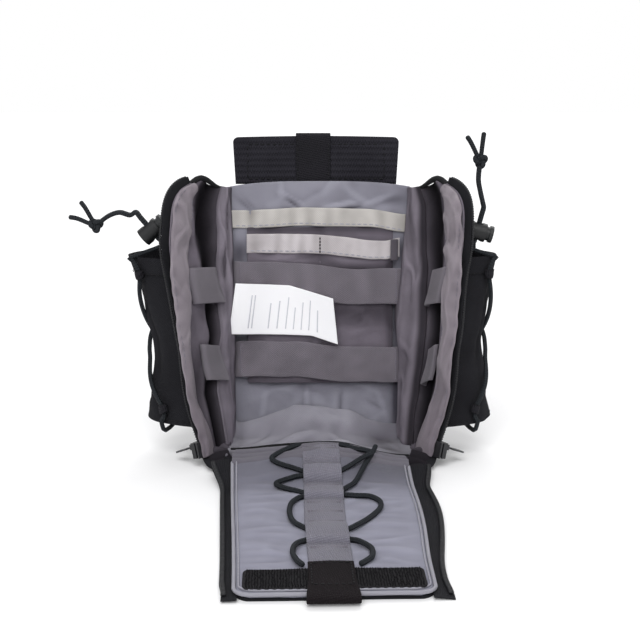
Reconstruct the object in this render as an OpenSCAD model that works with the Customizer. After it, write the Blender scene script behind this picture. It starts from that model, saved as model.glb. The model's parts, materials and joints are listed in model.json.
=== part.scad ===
// Zippered first aid pouch standing open: the front panel lies forward on the ground,
// the padded side walls flare outwards, and the loop flap stands behind the back panel.
// Frame: X to the right as seen from the front, Y to the rear, Z up.
// The origin is the centre of the base underside.

/* [Main compartment] */
// Width of the back panel between the side walls
body_w = 132; // [110:1:170]
// Height of the back panel along its own slope
body_h = 190; // [165:1:240]
// Depth of the base from front to rear
base_depth = 68; // [56:1:90]
// Angle that the back panel leans to the rear
lean = 8.5; // [4:0.5:12]
// Thickness of the outer fabric with its foam
shell_t = 2.4; // [1.6:0.1:3.5]
// Thickness of the lining on the back panel
lining_t = 2; // [1.2:0.1:3]
// Thickness of the padded lining on the base
base_pad_t = 4.4; // [3:0.1:7]

/* [Side walls] */
// Thickness of a padded side wall
wall_t = 4; // [3:0.1:6]
// Outward flare of the left wall about its crease
flare_left = 41; // [20:1:45]
// Outward flare of the right wall about its crease
flare_right = 38; // [20:1:45]
// Distance from the base centre to the crease, on the ground
crease_fwd = 10; // [4:0.5:14]
// Angle that the zip edge leans to the rear
edge_lean = 2.7; // [0:0.1:5]
// Height where the shoulder curve of the zip edge starts
shoulder_z = 145; // [120:1:150]
// Radius of the shoulder curve
shoulder_r = 55; // [40:1:58]
// Width of the padded facing inside the zip edge
facing_w = 12; // [8:0.5:16]
// Thickness of the padded facing
facing_t = 3; // [2:0.1:4]

/* [Zips] */
// Width of zip tape that shows beside the fabric
tape_w = 7.5; // [6:0.1:10]
// Thickness of the zip tape
tape_t = 0.8; // [0.6:0.05:1.2]
// Width of one row of zip teeth
coil_w = 3; // [2.4:0.1:3.6]
// Height of the zip teeth over the tape
coil_t = 2.2; // [1.8:0.1:2.8]
// Length of a zip slider
slider_len = 11; // [9:0.5:14]
// Length of a zip pull
pull_len = 19; // [15:1:24]

/* [Front panel] */
// Length of the front panel from its hinge seam
panel_len = 206; // [190:1:240]
// Width of the front panel at the hinge
panel_w = 120; // [100:1:124]
// How much narrower the far end of the front panel is
panel_taper = 7; // [0:0.5:12]
// Turn of the opened panel on the ground
panel_turn = 2; // [0:0.5:3]
// Thickness of the lining on the front panel
panel_lining_t = 2.2; // [1.5:0.1:3]
// Length of the hook strip across the far end
hook_len = 105; // [80:1:108]
// Width of the hook strip
hook_w = 25; // [16:1:30]
// Thickness of the hook strip
hook_t = 1.8; // [1.2:0.1:2.6]
// Diameter of the elastic cord on the front panel
cord_d = 3.4; // [2.6:0.1:3.8]

/* [Webbing] */
// Width of the nylon webbing
web_w = 25.4; // [20:0.2:30]
// Thickness of the nylon webbing
web_t = 1.5; // [1:0.1:2]
// Height of the open webbing tunnels over the lining
tunnel_h = 4; // [3.8:0.1:5]

/* [Top flap] */
// Width of the loop flap
flap_w = 122; // [90:1:128]
// Height of the loop flap
flap_h = 32; // [25:1:45]
// Thickness of the loop flap
flap_t = 3; // [2:0.1:4]

/* [Inner pockets and straps] */
// Height of the top hem of the rear inner pocket
rear_hem_h = 170; // [160:1:175]
// Height of the top hem of the front inner pocket
front_hem_h = 153; // [140:1:155]
// How much narrower the front inner pocket is than the space between the bindings
front_pocket_inset = 9; // [9:1:25]
// Height of the upper elastic loop's centre
strap_high = 120; // [112:1:125]
// Height of the lower elastic loop's centre
strap_low = 62; // [50:1:75]
// Width of the elastic loops
elastic_w = 26; // [20:0.5:30]
// Thickness of the elastic loops
elastic_t = 1.4; // [1:0.1:2]

/* [Side pockets] */
// Height of a side pocket's bottom over the ground
pocket_bottom = 26; // [15:1:40]
// Height of a side pocket
pocket_h = 115; // [95:1:118]
// Outward reach of the pocket at its mouth
pocket_mouth = 44; // [30:1:52]
// Outward reach of the pocket at its cinched waist
pocket_waist = 31; // [24:1:40]
// Outward reach of the pocket at its bottom
pocket_foot = 48; // [30:1:52]
// Thickness of the pocket cloth
pocket_t = 2; // [1.5:0.1:2.5]
// Diameter of the cord on the side pockets
lace_d = 3.2; // [2.4:0.1:3.3]

/* [Cord locks] */
// Outer radius of a cord lock barrel
lock_r = 6.5; // [6:0.1:8]
// Length of a cord lock barrel
lock_len = 14; // [13:0.5:18]
// Travel of a cord lock button
lock_travel = 2.2; // [1.5:0.1:2.4]

/* [Rear] */
// Number of webbing rows on the rear
row_count = 3; // [2:1:3]
// Pitch of the webbing rows
row_pitch = 50.8; // [40:0.2:55]
// Half distance between the two mounting straps
mount_strap_x = 28; // [24:1:34]

/* [Hidden] */
$fn = 48;

// Colours
black_cloth = "#232328";
grey_lining = "#85828f";
dark_grey = "#5f5a66";
tan_hem = "#aba6a6";

// Clearances between pieces of different bodies, and between laid-on pieces
gap = 0.4;
lay = 0.05;

// Main frame values
rear_y = base_depth / 2;
half_w = body_w / 2;
top_z = body_h * cos(lean);
wall_out = half_w + wall_t;
lining_y = -(shell_t + lining_t);
base_top = shell_t + base_pad_t;
function seam_y(z) = rear_y + z * tan(lean);

// Vector helpers
function unit(v) = v / norm(v);
function mix(a, b, t) = a + (b - a) * t;

// ---- Side wall outline, drawn flat in (y, z) as if the wall were closed ----
edge_z = base_top + gap + (tape_w + facing_w) * sin(edge_lean);
edge_y = -rear_y + 5;
edge_dir = [sin(edge_lean), cos(edge_lean)];
edge_in = [cos(edge_lean), -sin(edge_lean)];
crease_low = [-crease_fwd, 0];
crease_top = [seam_y(top_z) - 3, top_z];
crease_dir = unit(crease_top - crease_low);
arc_end = 100;
arc_steps = 10;
// Point on the straight zip edge, h above the ground and o inwards of the teeth's outer side
function edge_point(h, o) = [edge_y, edge_z] + edge_dir * (h - edge_z) / edge_dir[1] + edge_in * o;
arc_centre = edge_point(shoulder_z, 0) + edge_in * shoulder_r;
// Whole zip edge at the inward offset o, from the ground to the end of the shoulder
function edge_path(o) = concat([edge_point(edge_z, o)],
    [for (i = [0:arc_steps]) let (a = 180 - edge_lean + (arc_end - 180 + edge_lean) * i / arc_steps)
        arc_centre + (shoulder_r - o) * [cos(a), sin(a)]]);
function reversed(p) = [for (i = [len(p) - 1:-1:0]) p[i]];
function edge_strip(a, b) = concat(edge_path(a), reversed(edge_path(b)));
// Point beside the crease at height z, d to the front of it
function by_crease(z, d) = crease_low + crease_dir * z / crease_dir[1]
    + [-crease_dir[1], crease_dir[0]] * d;

// Mirrors right-hand geometry to the left side
module on_side(s) {
    if (s < 0) mirror([1, 0, 0]) children();
    else children();
}
// Extrudes an outline of (y, z) points from x0 by t along X
module slab(x0, t, outline) {
    translate([x0, 0, 0]) rotate([90, 0, 90]) linear_extrude(t) polygon(outline);
}
// Turns a closed right-hand wall piece outwards about the crease
crease_axis = [0, crease_dir[0], crease_dir[1]];
crease_pos = [wall_out, crease_low[0], crease_low[1]];
function flare(s) = s < 0 ? flare_left : flare_right;
module flared(s) {
    on_side(s) translate(crease_pos) rotate(a = flare(s), v = crease_axis)
        translate(-crease_pos) children();
}
// The same turn applied to a point (Rodrigues' rotation about the crease)
function flared_point(p, s) =
    let (r = p - crease_pos, k = crease_axis, c = cos(flare(s)), n = sin(flare(s)))
    crease_pos + r * c + cross(k, r) * n + k * (k * r) * (1 - c);

// Placement in the back panel's own frame: x across, y to the rear, z up the slope
module back_frame() {
    translate([0, rear_y, 0]) rotate([-lean, 0, 0]) children();
}
// A flat box on the back panel: centre x, width, lowest z, height, front y, thickness
module back_box(x, w, z, h, y, t) {
    back_frame() translate([x - w / 2, y, z]) cube([w, t, h]);
}

// ---- Back and base ----
module back_shell() {
    color(black_cloth) difference() {
        back_box(0, body_w, 2, body_h - 2, -shell_t, shell_t);
        translate([-half_w, 0, -shell_t]) cube([body_w, rear_y * 2, shell_t + lay]);
    }
}
module back_lining() {
    color(grey_lining) back_box(0, body_w - 0.4, base_top + 1, body_h - base_top - 1, lining_y, lining_t);
}
module base_shell() {
    color(black_cloth) translate([-half_w, -rear_y, 0])
        cube([body_w, base_depth - shell_t, shell_t]);
}
module base_lining() {
    color(grey_lining) translate([-half_w + 0.2, -rear_y, shell_t])
        cube([body_w - 0.4, base_depth - shell_t - lining_t, base_pad_t]);
}
// Rolled bindings that cover the seams between the back and the walls
binding_r = 4;
module seam_bindings() {
    color(dark_grey) for (s = [-1, 1]) intersection() {
        back_frame() translate([s * (half_w - binding_r - gap), lining_y, base_top + 2])
            cylinder(r = binding_r, h = body_h - base_top - 4);
        back_box(0, body_w, 0, body_h, lining_y - 10, 10);
    }
}

// ---- Inner pockets, elastic loops and the label, laid on the back lining ----
pocket_cloth_t = 1;
hem_t = 1.6;
rear_pocket_low = 48;
front_pocket_low = 44;
inner_w = body_w - 4 * binding_r - 1;
end_tab = 4;
rear_pocket_w = inner_w - 2 * end_tab - gap;
front_pocket_w = inner_w - front_pocket_inset;
rear_pocket_y = lining_y - pocket_cloth_t;
front_pocket_y = rear_pocket_y - hem_t - pocket_cloth_t;
elastic_y = front_pocket_y - hem_t - elastic_t;
rear_hem_w = 13;
front_hem_w = 14;
module rear_pocket() {
    color(grey_lining) back_box(0, rear_pocket_w, rear_pocket_low,
        rear_hem_h - rear_hem_w - rear_pocket_low, rear_pocket_y, pocket_cloth_t);
}
module rear_pocket_hem() {
    color(tan_hem) back_box(0, inner_w, rear_hem_h - rear_hem_w, rear_hem_w,
        lining_y - hem_t, hem_t);
}
module front_pocket() {
    color(dark_grey) back_box(0, front_pocket_w, front_pocket_low,
        front_hem_h - front_hem_w - front_pocket_low, front_pocket_y, pocket_cloth_t + hem_t);
}
module front_pocket_hem() {
    color(tan_hem) back_box(0, front_pocket_w, front_hem_h - front_hem_w, front_hem_w,
        front_pocket_y - 0.6, hem_t);
}
// An elastic loop across the back panel with end tabs that reach the lining
module back_elastic(z) {
    color(dark_grey) {
        back_box(0, inner_w, z - elastic_w / 2, elastic_w, elastic_y, elastic_t);
        for (s = [-1, 1]) back_box(s * (inner_w - end_tab) / 2, end_tab, z - elastic_w / 2, elastic_w,
            elastic_y, lining_y - elastic_y);
    }
}
module back_elastic_upper() { back_elastic(strap_high); }
module back_elastic_lower() { back_elastic(strap_low); }
// Blank white label, sewn at its left end and bent over the elastic loops
label_top = 118;
label_drop = 37;
module sewn_label() {
    color("#f2f2f6") back_frame() translate([0, elastic_y - lay, 0]) rotate([90, 0, 0])
        linear_extrude(0.8) polygon([[-inner_w / 2 + 2, label_top], [-22, label_top - 2],
            [10, label_top - 11], [14, label_top - 44], [-8, label_top - label_drop - 1],
            [-inner_w / 2 + 2, label_top - label_drop]]);
}

// ---- Side walls ----
// Rear triangle of the wall, fixed to the back and the base
module wall_gusset(s) {
    top = by_crease(top_z - 6, -gap / 2);
    color(black_cloth) on_side(s) slab(half_w, wall_t,
        [[rear_y, 0], by_crease(0, -gap / 2), top, [seam_y(top_z), top_z]]);
}
module wall_gusset_left() { wall_gusset(-1); }
module wall_gusset_right() { wall_gusset(1); }
// Front and upper part of the wall, which swings about the crease
wall_foot = 4;
module side_wall(s) {
    color(black_cloth) flared(s) slab(half_w, wall_t,
        concat(edge_path(tape_w), [by_crease(top_z + 2, gap / 2), by_crease(wall_foot, gap / 2)]));
}
module side_wall_left() { side_wall(-1); }
module side_wall_right() { side_wall(1); }
module wall_facing(s) {
    color(grey_lining) flared(s) slab(half_w - facing_t, facing_t,
        edge_strip(tape_w, tape_w + facing_w));
}
module wall_facing_left() { wall_facing(-1); }
module wall_facing_right() { wall_facing(1); }
// Elastic loop on the wall's inner face, from the facing to near the crease
wall_loop_rise = 3.4;
wall_loop_high = strap_high + 5;
wall_loop_low = strap_low + 9;
module wall_elastic(s, z) {
    low = z - elastic_w / 2;
    front = edge_point(low + elastic_w, tape_w + facing_w)[0] + gap;
    rear = by_crease(low, 3)[0];
    color(dark_grey) flared(s) translate([half_w - wall_loop_rise, 0, low]) {
        translate([0, front, 0]) cube([elastic_t, rear - front, elastic_w]);
        for (y = [front, rear - end_tab]) translate([0, y, 0]) cube([wall_loop_rise, end_tab, elastic_w]);
    }
}
module wall_elastic_upper_left() { wall_elastic(-1, wall_loop_high); }
module wall_elastic_upper_right() { wall_elastic(1, wall_loop_high); }
module wall_elastic_lower_left() { wall_elastic(-1, wall_loop_low); }
module wall_elastic_lower_right() { wall_elastic(1, wall_loop_low); }

// ---- Zips on the side walls ----
tape_x = half_w + 1.4;
teeth_x = tape_x + tape_t;
module wall_zip_tape(s) {
    color("#1c1c20") flared(s) slab(tape_x, tape_t, edge_strip(1, tape_w));
}
module wall_zip_tape_left() { wall_zip_tape(-1); }
module wall_zip_tape_right() { wall_zip_tape(1); }
module wall_zip_teeth(s) {
    color("#101014") flared(s) slab(teeth_x, coil_t, edge_strip(0, coil_w));
}
module wall_zip_teeth_left() { wall_zip_teeth(-1); }
module wall_zip_teeth_right() { wall_zip_teeth(1); }

// Placement on the straight zip edge: x outwards, y inwards from the teeth, z up the edge
slider_low = edge_z + gap;
module on_edge(s) {
    p = edge_point(slider_low, 0);
    flared(s) translate([tape_x, p[0], p[1]]) rotate([-edge_lean, 0, 0]) children();
}
slider_gap = 0.35;
plate_t = 1.3;
slider_half = 4.6;
lug_r = 1.9;
pin_r = 0.7;
pin_gap = 0.08;
slider_top = tape_t + coil_t + slider_gap + plate_t;
lug_z = slider_len - 3.4;
lug_x = slider_top + lug_r - 0.2;
// A slider: two plates and a nose post, with two lugs and a pin for the pull
module zip_slider(s) {
    color("#8d8f94") on_edge(s) {
        difference() {
            translate([-slider_gap - plate_t, -slider_half, 0])
                cube([slider_top + slider_gap + plate_t, slider_half * 2, slider_len]);
            translate([-slider_gap, -slider_half - 1, -1])
                cube([tape_t + slider_gap * 2, slider_half * 2 + 2, slider_len + 2]);
            translate([-slider_gap, -coil_w - slider_gap, -1])
                cube([tape_t + coil_t + slider_gap * 2, (coil_w + slider_gap) * 2, slider_len + 2]);
        }
        translate([-slider_gap - 0.1, -coil_w - 0.2, slider_len - 3])
            cube([slider_top, coil_w - 0.4, 3]);
        for (y = [-2.6, 1.4]) translate([slider_top - 0.2, y, lug_z - lug_r])
            cube([lug_r * 2, 1.2, lug_r * 2]);
        translate([lug_x, -2.6, lug_z]) rotate([-90, 0, 0]) cylinder(r = pin_r, h = 5.2);
    }
}
module zip_slider_left() { zip_slider(-1); }
module zip_slider_right() { zip_slider(1); }
// A pull: an eye round the pin and a flat tab that hangs towards the ground
pull_drop = 100;
pull_w = 6;
module zip_pull(s) {
    color("#b9bbc0") on_edge(s) translate([lug_x, -0.6, lug_z]) rotate([0, pull_drop, 0]) difference() {
        union() {
            translate([0, -0.55, 0]) rotate([-90, 0, 0]) cylinder(r = 1.6, h = 1.9);
            translate([-0.5, -0.55, 1]) cube([1.2, 1.9, 5]);
            translate([-0.5, 0.4 - pull_w / 2, 5.5]) cube([1.2, pull_w, pull_len - 8]);
        }
        translate([0, -2, 0]) rotate([-90, 0, 0]) cylinder(r = pin_r + pin_gap, h = 6);
    }
}
module zip_pull_left() { zip_pull(-1); }
module zip_pull_right() { zip_pull(1); }

// ---- Front panel: own frame with y to the far end negative and z = 0 on the lining ----
panel_t = shell_t + panel_lining_t;
near_r = 12;
far_r = 9;
near_half = panel_w / 2 - near_r - 1;
hinge_y = -rear_y - gap - near_half * sin(panel_turn);
module panel_frame() {
    translate([0, hinge_y, panel_t]) rotate([0, 0, panel_turn]) children();
}
function panel_half(s) = (panel_w - panel_taper * s / panel_len) / 2;
// Outline of the panel, inset by e
module panel_outline(e) {
    hull() for (m = [-1, 1]) {
        translate([m * near_half, -near_r - lay]) circle(near_r - e, $fn = 32);
        translate([m * (panel_half(panel_len) - far_r), -panel_len + far_r]) circle(far_r - e, $fn = 32);
    }
}
piping_w = 1.6;
piping_from = 20;
module front_panel_shell() {
    color(black_cloth) panel_frame() translate([0, 0, -panel_t]) linear_extrude(shell_t) panel_outline(0);
}
module front_panel_lining() {
    color("#8c8c9b") panel_frame() translate([0, 0, -panel_lining_t])
        linear_extrude(panel_lining_t) panel_outline(piping_w);
}
module panel_piping() {
    color("#9a99a4") panel_frame() translate([0, 0, -panel_lining_t]) linear_extrude(panel_lining_t)
        difference() {
            panel_outline(0);
            panel_outline(piping_w);
            translate([-panel_w, -piping_from]) square([panel_w * 2, piping_from * 2]);
        }
}
panel_tape_w = 8;
tape_start = 16;
// A band beside the panel's edge, from a to b outside it
module panel_band(a, b, z, t) {
    for (m = [-1, 1]) translate([0, 0, z]) linear_extrude(t) polygon([
        [m * (panel_half(tape_start) + a), -tape_start], [m * (panel_half(tape_start) + b), -tape_start],
        [m * (panel_half(panel_len) + b), -panel_len], [m * (panel_half(panel_len) + a), -panel_len + far_r],
        [m * (panel_half(panel_len - far_r) + a), -panel_len + far_r]]);
}
module panel_zip_tapes() {
    color("#1c1c20") panel_frame() panel_band(0, panel_tape_w, -panel_t + 1, tape_t);
}
module panel_zip_teeth() {
    color("#101014") panel_frame()
        panel_band(panel_tape_w - coil_w, panel_tape_w, -panel_t + 1 + tape_t, coil_t);
}
hook_end = 4.5;
hook_from = panel_len - hook_end - hook_w;
module hook_strip() {
    color("#1a1a1e") panel_frame() linear_extrude(hook_t) hull() for (m = [-1, 1], y = [0, 1])
        translate([m * (hook_len / 2 - 4), -hook_from - 4 - y * (hook_w - 8)]) circle(4, $fn = 32);
}
// Webbing sewn at bar tacks, with raised tunnels that the cord passes through
tunnels = [[24, 41], [50, 71], [113, 144]];
ramp = 3;
daisy_from = 5;
function daisy_line(z) = concat([[-daisy_from, z]],
    [for (t = tunnels) each [[-t[0], z], [-t[0] - ramp, z + tunnel_h],
        [-t[1] + ramp, z + tunnel_h], [-t[1], z]]],
    [[-hook_from + lay, z]]);
module daisy_webbing() {
    color("#73727f") panel_frame() translate([-web_w / 2, 0, 0]) rotate([90, 0, 90])
        linear_extrude(web_w) polygon(concat(daisy_line(0), reversed(daisy_line(web_t))));
}
// Folded webbing loop over the hook strip, which hangs past the panel's end
tab_past = 9;
tab_fold = 3.6;
tab_w = web_w + 1;
module pull_tab() {
    color("#2c2629") panel_frame() {
        translate([-tab_w / 2, -panel_len - tab_past, hook_t])
            cube([tab_w, hook_w + hook_end + tab_past + 2, web_t]);
        translate([-tab_w / 2, -panel_len - tab_past, hook_t - tab_fold])
            cube([tab_w, web_t, tab_fold]);
        translate([-tab_w / 2, -panel_len - tab_past, hook_t - tab_fold - web_t])
            cube([tab_w, tab_past - gap, web_t]);
    }
}

// ---- Elastic cord: a tube swept along points chosen by hand ----
// Catmull-Rom curve through the points, k steps a span
function spline(p, k) = concat([for (i = [0:len(p) - 2], j = [0:k - 1])
    let (a = p[max(i - 1, 0)], b = p[i], c = p[i + 1], d = p[min(i + 2, len(p) - 1)], t = j / k)
    0.5 * (2 * b + (c - a) * t + (2 * a - 5 * b + 4 * c - d) * t * t + (3 * b - a - 3 * c + d) * t * t * t)],
    [p[len(p) - 1]]);
function tangent(p, i) = unit(p[min(i + 1, len(p) - 1)] - p[max(i - 1, 0)]);
sides = 8;
// Tube of radius r along the points p; ref is a direction the tube never follows
module tube(p, r, ref) {
    rings = [for (i = [0:len(p) - 1]) let (t = tangent(p, i), u = unit(cross(ref, t)), v = cross(t, u))
        for (j = [0:sides - 1]) p[i] + r * (u * cos(360 * j / sides) + v * sin(360 * j / sides))];
    n = len(p);
    polyhedron(rings, concat([[for (j = [0:sides - 1]) j]],
        [for (i = [0:n - 2], j = [0:sides - 1]) let (a = i * sides + j, b = i * sides + (j + 1) % sides)
            each [[a, b + sides, b], [a, a + sides, b + sides]]],
        [[for (j = [sides - 1:-1:0]) (n - 1) * sides + j]]));
}
cord_r = cord_d / 2;
cz = cord_r + 0.3;
// Points in the panel's frame: across, distance from the hinge, height
left_cord = [[-15, 8, cz], [-24, 5, cz], [-33, 8, cz], [-30, 16, cz], [-20, 27, cz], [-10, 32, cz],
    [-19, 36, cz], [-30, 42, cz], [-27, 49, cz], [-18, 56, cz], [-9, 61, cz], [-16, 69, cz], [-21, 80, cz],
    [-22, 97, cz], [-19, 112, cz], [-10, 123, cz], [-10, 134, cz], [-19, 145, cz], [-21, 157, cz],
    [-19, 168, cz], [-16, 174, cz]];
right_upper_cord = [[15, 8, cz], [22, 5, cz], [32, 7, cz], [33, 14, cz + 4], [25, 22, cz + 3],
    [17, 29, cz], [9, 32, cz]];
right_cord = [[41, 4, cz + 3], [37, 10, cz], [33, 18, cz], [27, 30, cz], [20, 46, cz], [10, 59, cz],
    [18, 66, cz], [29, 68, cz], [35, 77, cz], [34, 90, cz], [26, 106, cz], [17, 118, cz], [9, 125, cz],
    [9, 134, cz], [18, 142, cz], [24, 152, cz], [24, 163, cz], [21, 169, cz], [17, 174, cz]];
function on_panel(p) = [for (q = p) [q[0], -q[1], q[2]]];
module panel_shock_cord() {
    color("#33373e") panel_frame()
        for (p = [left_cord, right_upper_cord, right_cord]) tube(spline(on_panel(p), 3), cord_r, [0, 0, 1]);
}

// ---- Top flap: stands behind the back panel's top edge and folds forward over it ----
flap_x = -3;
flap_y = web_t + gap / 2;
flap_low = body_h + gap / 2;
module top_flap() {
    color("#26262b") back_box(flap_x, flap_w, flap_low, flap_h, flap_y, flap_t);
}
// Webbing that wraps over the flap's top edge
module flap_webbing() {
    color("#202025") {
        back_box(flap_x - 2, web_w, flap_low, flap_h, flap_y - web_t, web_t);
        back_box(flap_x - 2, web_w, flap_low + flap_h, web_t, flap_y - web_t, flap_t + 2 * web_t);
        back_box(flap_x - 2, web_w, flap_low, flap_h, flap_y + flap_t, web_t);
    }
}

// ---- Side pockets: a bellied skin from the wall's front edge to its rear seam ----
skin_gap = 0.5;
station_count = 8;
arc_count = 14;
// Anchor lines on the wall's outer face for a station t from the bottom (0) to the mouth (1)
function station_z(t) = pocket_bottom + pocket_h * t;
seam_in = 4.5;
function pocket_front(s, t) = let (p = edge_point(station_z(t), tape_w + seam_in))
    flared_point([wall_out + skin_gap, p[0], p[1] + 6 * t], s);
function pocket_crease(t) = let (c = by_crease(station_z(t), 0)) [wall_out + skin_gap, c[0], c[1]];
function pocket_rear(t) = [wall_out + skin_gap, seam_y(station_z(t)) - 5, station_z(t)];
function pocket_reach(t) = mix(pocket_waist, t < 0.5 ? pocket_foot : pocket_mouth, pow(abs(1 - 2 * t), 1.5));
belly_dir = [cos(12), sin(12), 0];
// Point on the skin at station t and angle a (0 at the front seam, 180 at the rear), shrunk by e
function skin_point(s, t, a, e) = let (f = pocket_front(s, t), r = pocket_rear(t),
    axis = (f - r) / 2, shorten = 1 - e / norm(axis))
    (f + r) / 2 + axis * cos(a) * shorten + belly_dir * (pocket_reach(t) - e) * pow(sin(a), 0.8);
// Closed ring of one station: the belly, then the crease corner on the wall side
function ring(s, t, e) = concat([for (j = [0:arc_count]) skin_point(s, t, 180 * j / arc_count, e)],
    [pocket_crease(t) + [e, 0, 0]]);
// Solid through the rings of one inset
module loft(s, e, t0, t1) {
    rings = [for (i = [0:station_count]) ring(s, mix(t0, t1, i / station_count), e)];
    m = len(rings[0]);
    n = len(rings);
    polyhedron([for (q = rings) each q], concat([[for (j = [0:m - 1]) j]],
        [for (i = [0:n - 2], j = [0:m - 1]) let (a = i * m + j, b = i * m + (j + 1) % m)
            each [[a, a + m, b + m], [a, b + m, b]]],
        [[for (j = [m - 1:-1:0]) (n - 1) * m + j]]));
}
module side_pocket(s) {
    color("#2a2a2f") on_side(s) difference() {
        loft(s, 0, 0, 1);
        loft(s, pocket_t, 2.2 * pocket_t / pocket_h, 1.02);
    }
}
module side_pocket_left() { side_pocket(-1); }
module side_pocket_right() { side_pocket(1); }

// ---- Cord locks: a barrel on the tail cords, a sprung button, and the cords' places ----
// Place of a barrel out from the wall and over the pocket's mouth, left and right,
// and the tilt of its axis out of level
lock_out = [48, 40];
lock_y = [16, 14];
lock_rise = 19;
lock_tilt = [-40, 14];
function lock_centre(s) = let (i = s < 0 ? 0 : 1)
    [s * (wall_out + lock_out[i]), lock_y[i], pocket_bottom + pocket_h + lock_rise];
function tilt(s) = lock_tilt[s < 0 ? 0 : 1];
function lock_point(s, q) = let (a = tilt(s))
    lock_centre(s) + [q[0] * cos(a) + q[2] * sin(a), q[1], q[2] * cos(a) - q[0] * sin(a)];
module on_lock(s) {
    translate(lock_centre(s)) rotate([0, tilt(s), 0]) children();
}
lace_r = lace_d / 2;
strand_y = lace_r + 0.12;
hole_r = lace_d + 0.55;
bore_r = lock_r - 1.5;
lock_low = -lock_len / 2 - 1;
lock_high = lock_low + lock_len;
button_r = bore_r - 0.15;
button_from = lock_low + 1.3 + lock_travel + 1.4;
module cord_lock(s) {
    color("#1d1d20") on_lock(s) difference() {
        translate([lock_low, 0, 0]) rotate([0, 90, 0]) cylinder(r = lock_r, h = lock_len);
        translate([lock_low + 1.3, 0, 0]) rotate([0, 90, 0]) cylinder(r = bore_r, h = lock_len);
        translate([0, 0, -lock_r - 1]) cylinder(r = hole_r, h = lock_r * 2 + 2);
    }
}
module cord_lock_left() { cord_lock(-1); }
module cord_lock_right() { cord_lock(1); }
module lock_button(s) {
    color("#26262a") on_lock(s) difference() {
        union() {
            translate([button_from, 0, 0]) rotate([0, 90, 0])
                cylinder(r = button_r, h = lock_high - button_from + lock_travel + 0.6);
            translate([lock_high + lock_travel + 0.4, 0, 0]) rotate([0, 90, 0])
                cylinder(r = lock_r - 0.6, h = 2.4);
        }
        translate([-lace_r - gap, -hole_r, -lock_r])
            cube([lace_d + lock_travel + 2 * gap, hole_r * 2, lock_r * 2]);
    }
}
module lock_button_left() { lock_button(-1); }
module lock_button_right() { lock_button(1); }
module lock_spring(s) {
    color("silver") on_lock(s) translate([lock_low + 1.35, 0, 0]) rotate([0, 90, 0]) difference() {
        cylinder(r = 3.4, h = button_from - lock_low - 1.4);
        translate([0, 0, -1]) cylinder(r = 2.6, h = 10);
    }
}
module lock_spring_left() { lock_spring(-1); }
module lock_spring_right() { lock_spring(1); }

// ---- Lacing over the side pockets, and the tails above the locks ----
lace_off = lace_r + 2.7;
strand_low = -lock_r - 2.5;
// Each point is an angle on the belly, a station, and a lift over the skin
front_lace = [[32, 1.0, 0.6], [30, 0.9, 0], [46, 0.77, 0], [67, 0.63, 0], [90, 0.5, 0], [113, 0.37, 0],
    [134, 0.23, 0], [150, 0.1, 0], [146, 0.02, 0.5]];
rear_lace = [[146, 1.02, 0.6], [150, 0.9, 0], [134, 0.77, 0], [113, 0.64, 0], [101, 0.57, 2],
    [90, 0.5, 3.6], [79, 0.43, 2], [67, 0.36, 0], [46, 0.23, 0], [30, 0.1, 0], [34, 0.02, 0.5]];
function mirrored(p, s) = [p[0] * (s < 0 ? -1 : 1), p[1], p[2]];
function lace_path(s, list) = [for (q = list) mirrored(skin_point(s, q[1], q[0], -lace_off - q[2]), s)];
// The short loop that hangs below the pocket's bottom and joins the two cords
loop_drop = 9;
function last(p) = p[len(p) - 1];
function hang_loop(s) = let (a = last(lace_path(s, front_lace)), b = last(lace_path(s, rear_lace)))
    [mix(a, b, 0.18) - [0, 0, loop_drop], mix(b, a, 0.18) - [0, 0, loop_drop]];
lace_stub = 4;
function on_strand(s, m, heights) = [for (z = heights) lock_point(s, [0, m * strand_y, z])];
function lace_end(s, m) = on_strand(s, m, [strand_low, strand_low - lace_stub]);
function full_lace(s) = concat(lace_end(s, -1), lace_path(s, front_lace), hang_loop(s),
    reversed(lace_path(s, rear_lace)), reversed(lace_end(s, 1)));
module pocket_lacing(s) {
    color("#33373e") tube(spline(full_lace(s), 3), lace_r, [0.2, 0.96, 0.2]);
}
module pocket_lacing_left() { pocket_lacing(-1); }
module pocket_lacing_right() { pocket_lacing(1); }
loop_len = 5;
loop_wall = 1.1;
// Points a child's z axis along d from p
module aimed(p, d) {
    translate(p) rotate([0, acos(d[2] / norm(d)), atan2(d[1], d[0])]) children();
}
module pocket_loops(s) {
    color(black_cloth) for (i = [1, len(front_lace) - 2], list = [front_lace, rear_lace]) {
        path = lace_path(s, list);
        k = i == 1 ? 1 : len(list) - 2;
        d = path[k + 1] - path[k - 1];
        aimed(path[k] - unit(d) * loop_len / 2, d) difference() {
            cylinder(r = lace_r + 2 * gap + loop_wall, h = loop_len);
            translate([0, 0, -1]) cylinder(r = lace_r + 2 * gap, h = loop_len + 2);
        }
    }
}
module pocket_loops_left() { pocket_loops(-1); }
module pocket_loops_right() { pocket_loops(1); }
// Tail points after the straight stretch through the lock, from the lock's centre
tail_left = [[-15, 0, 11], [-22, -1, 13], [-29, -1, 11], [-35, -1, 7]];
tail_right = [[3.5, 0, 20], [1.5, 0, 28], [0, 0, 36], [0.5, 0, 45]];
knot_left = [-39, -1, 4];
knot_right = [1, 0, 49];
function tail(s, m) = concat(on_strand(s, m, [strand_low + 4 * gap, -4, 4, 12, 17]),
    [for (q = s < 0 ? tail_left : tail_right) lock_centre(s) + q + [0, m * strand_y, 0]]);
module cord_tail(s) {
    color("#33373e") for (m = [-1, 1]) tube(spline(tail(s, m), 3), lace_r, [0, 1, 0]);
}
module cord_tail_left() { cord_tail(-1); }
module cord_tail_right() { cord_tail(1); }
knot_r = 6;
end_len = 13;
module cord_knot(s, from_lock, aims) {
    p = lock_centre(s) + from_lock;
    color("#2c3036") {
        translate(p) sphere(knot_r);
        for (d = aims) aimed(p, d) cylinder(r = lace_r, h = knot_r + end_len, $fn = 16);
    }
}
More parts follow.
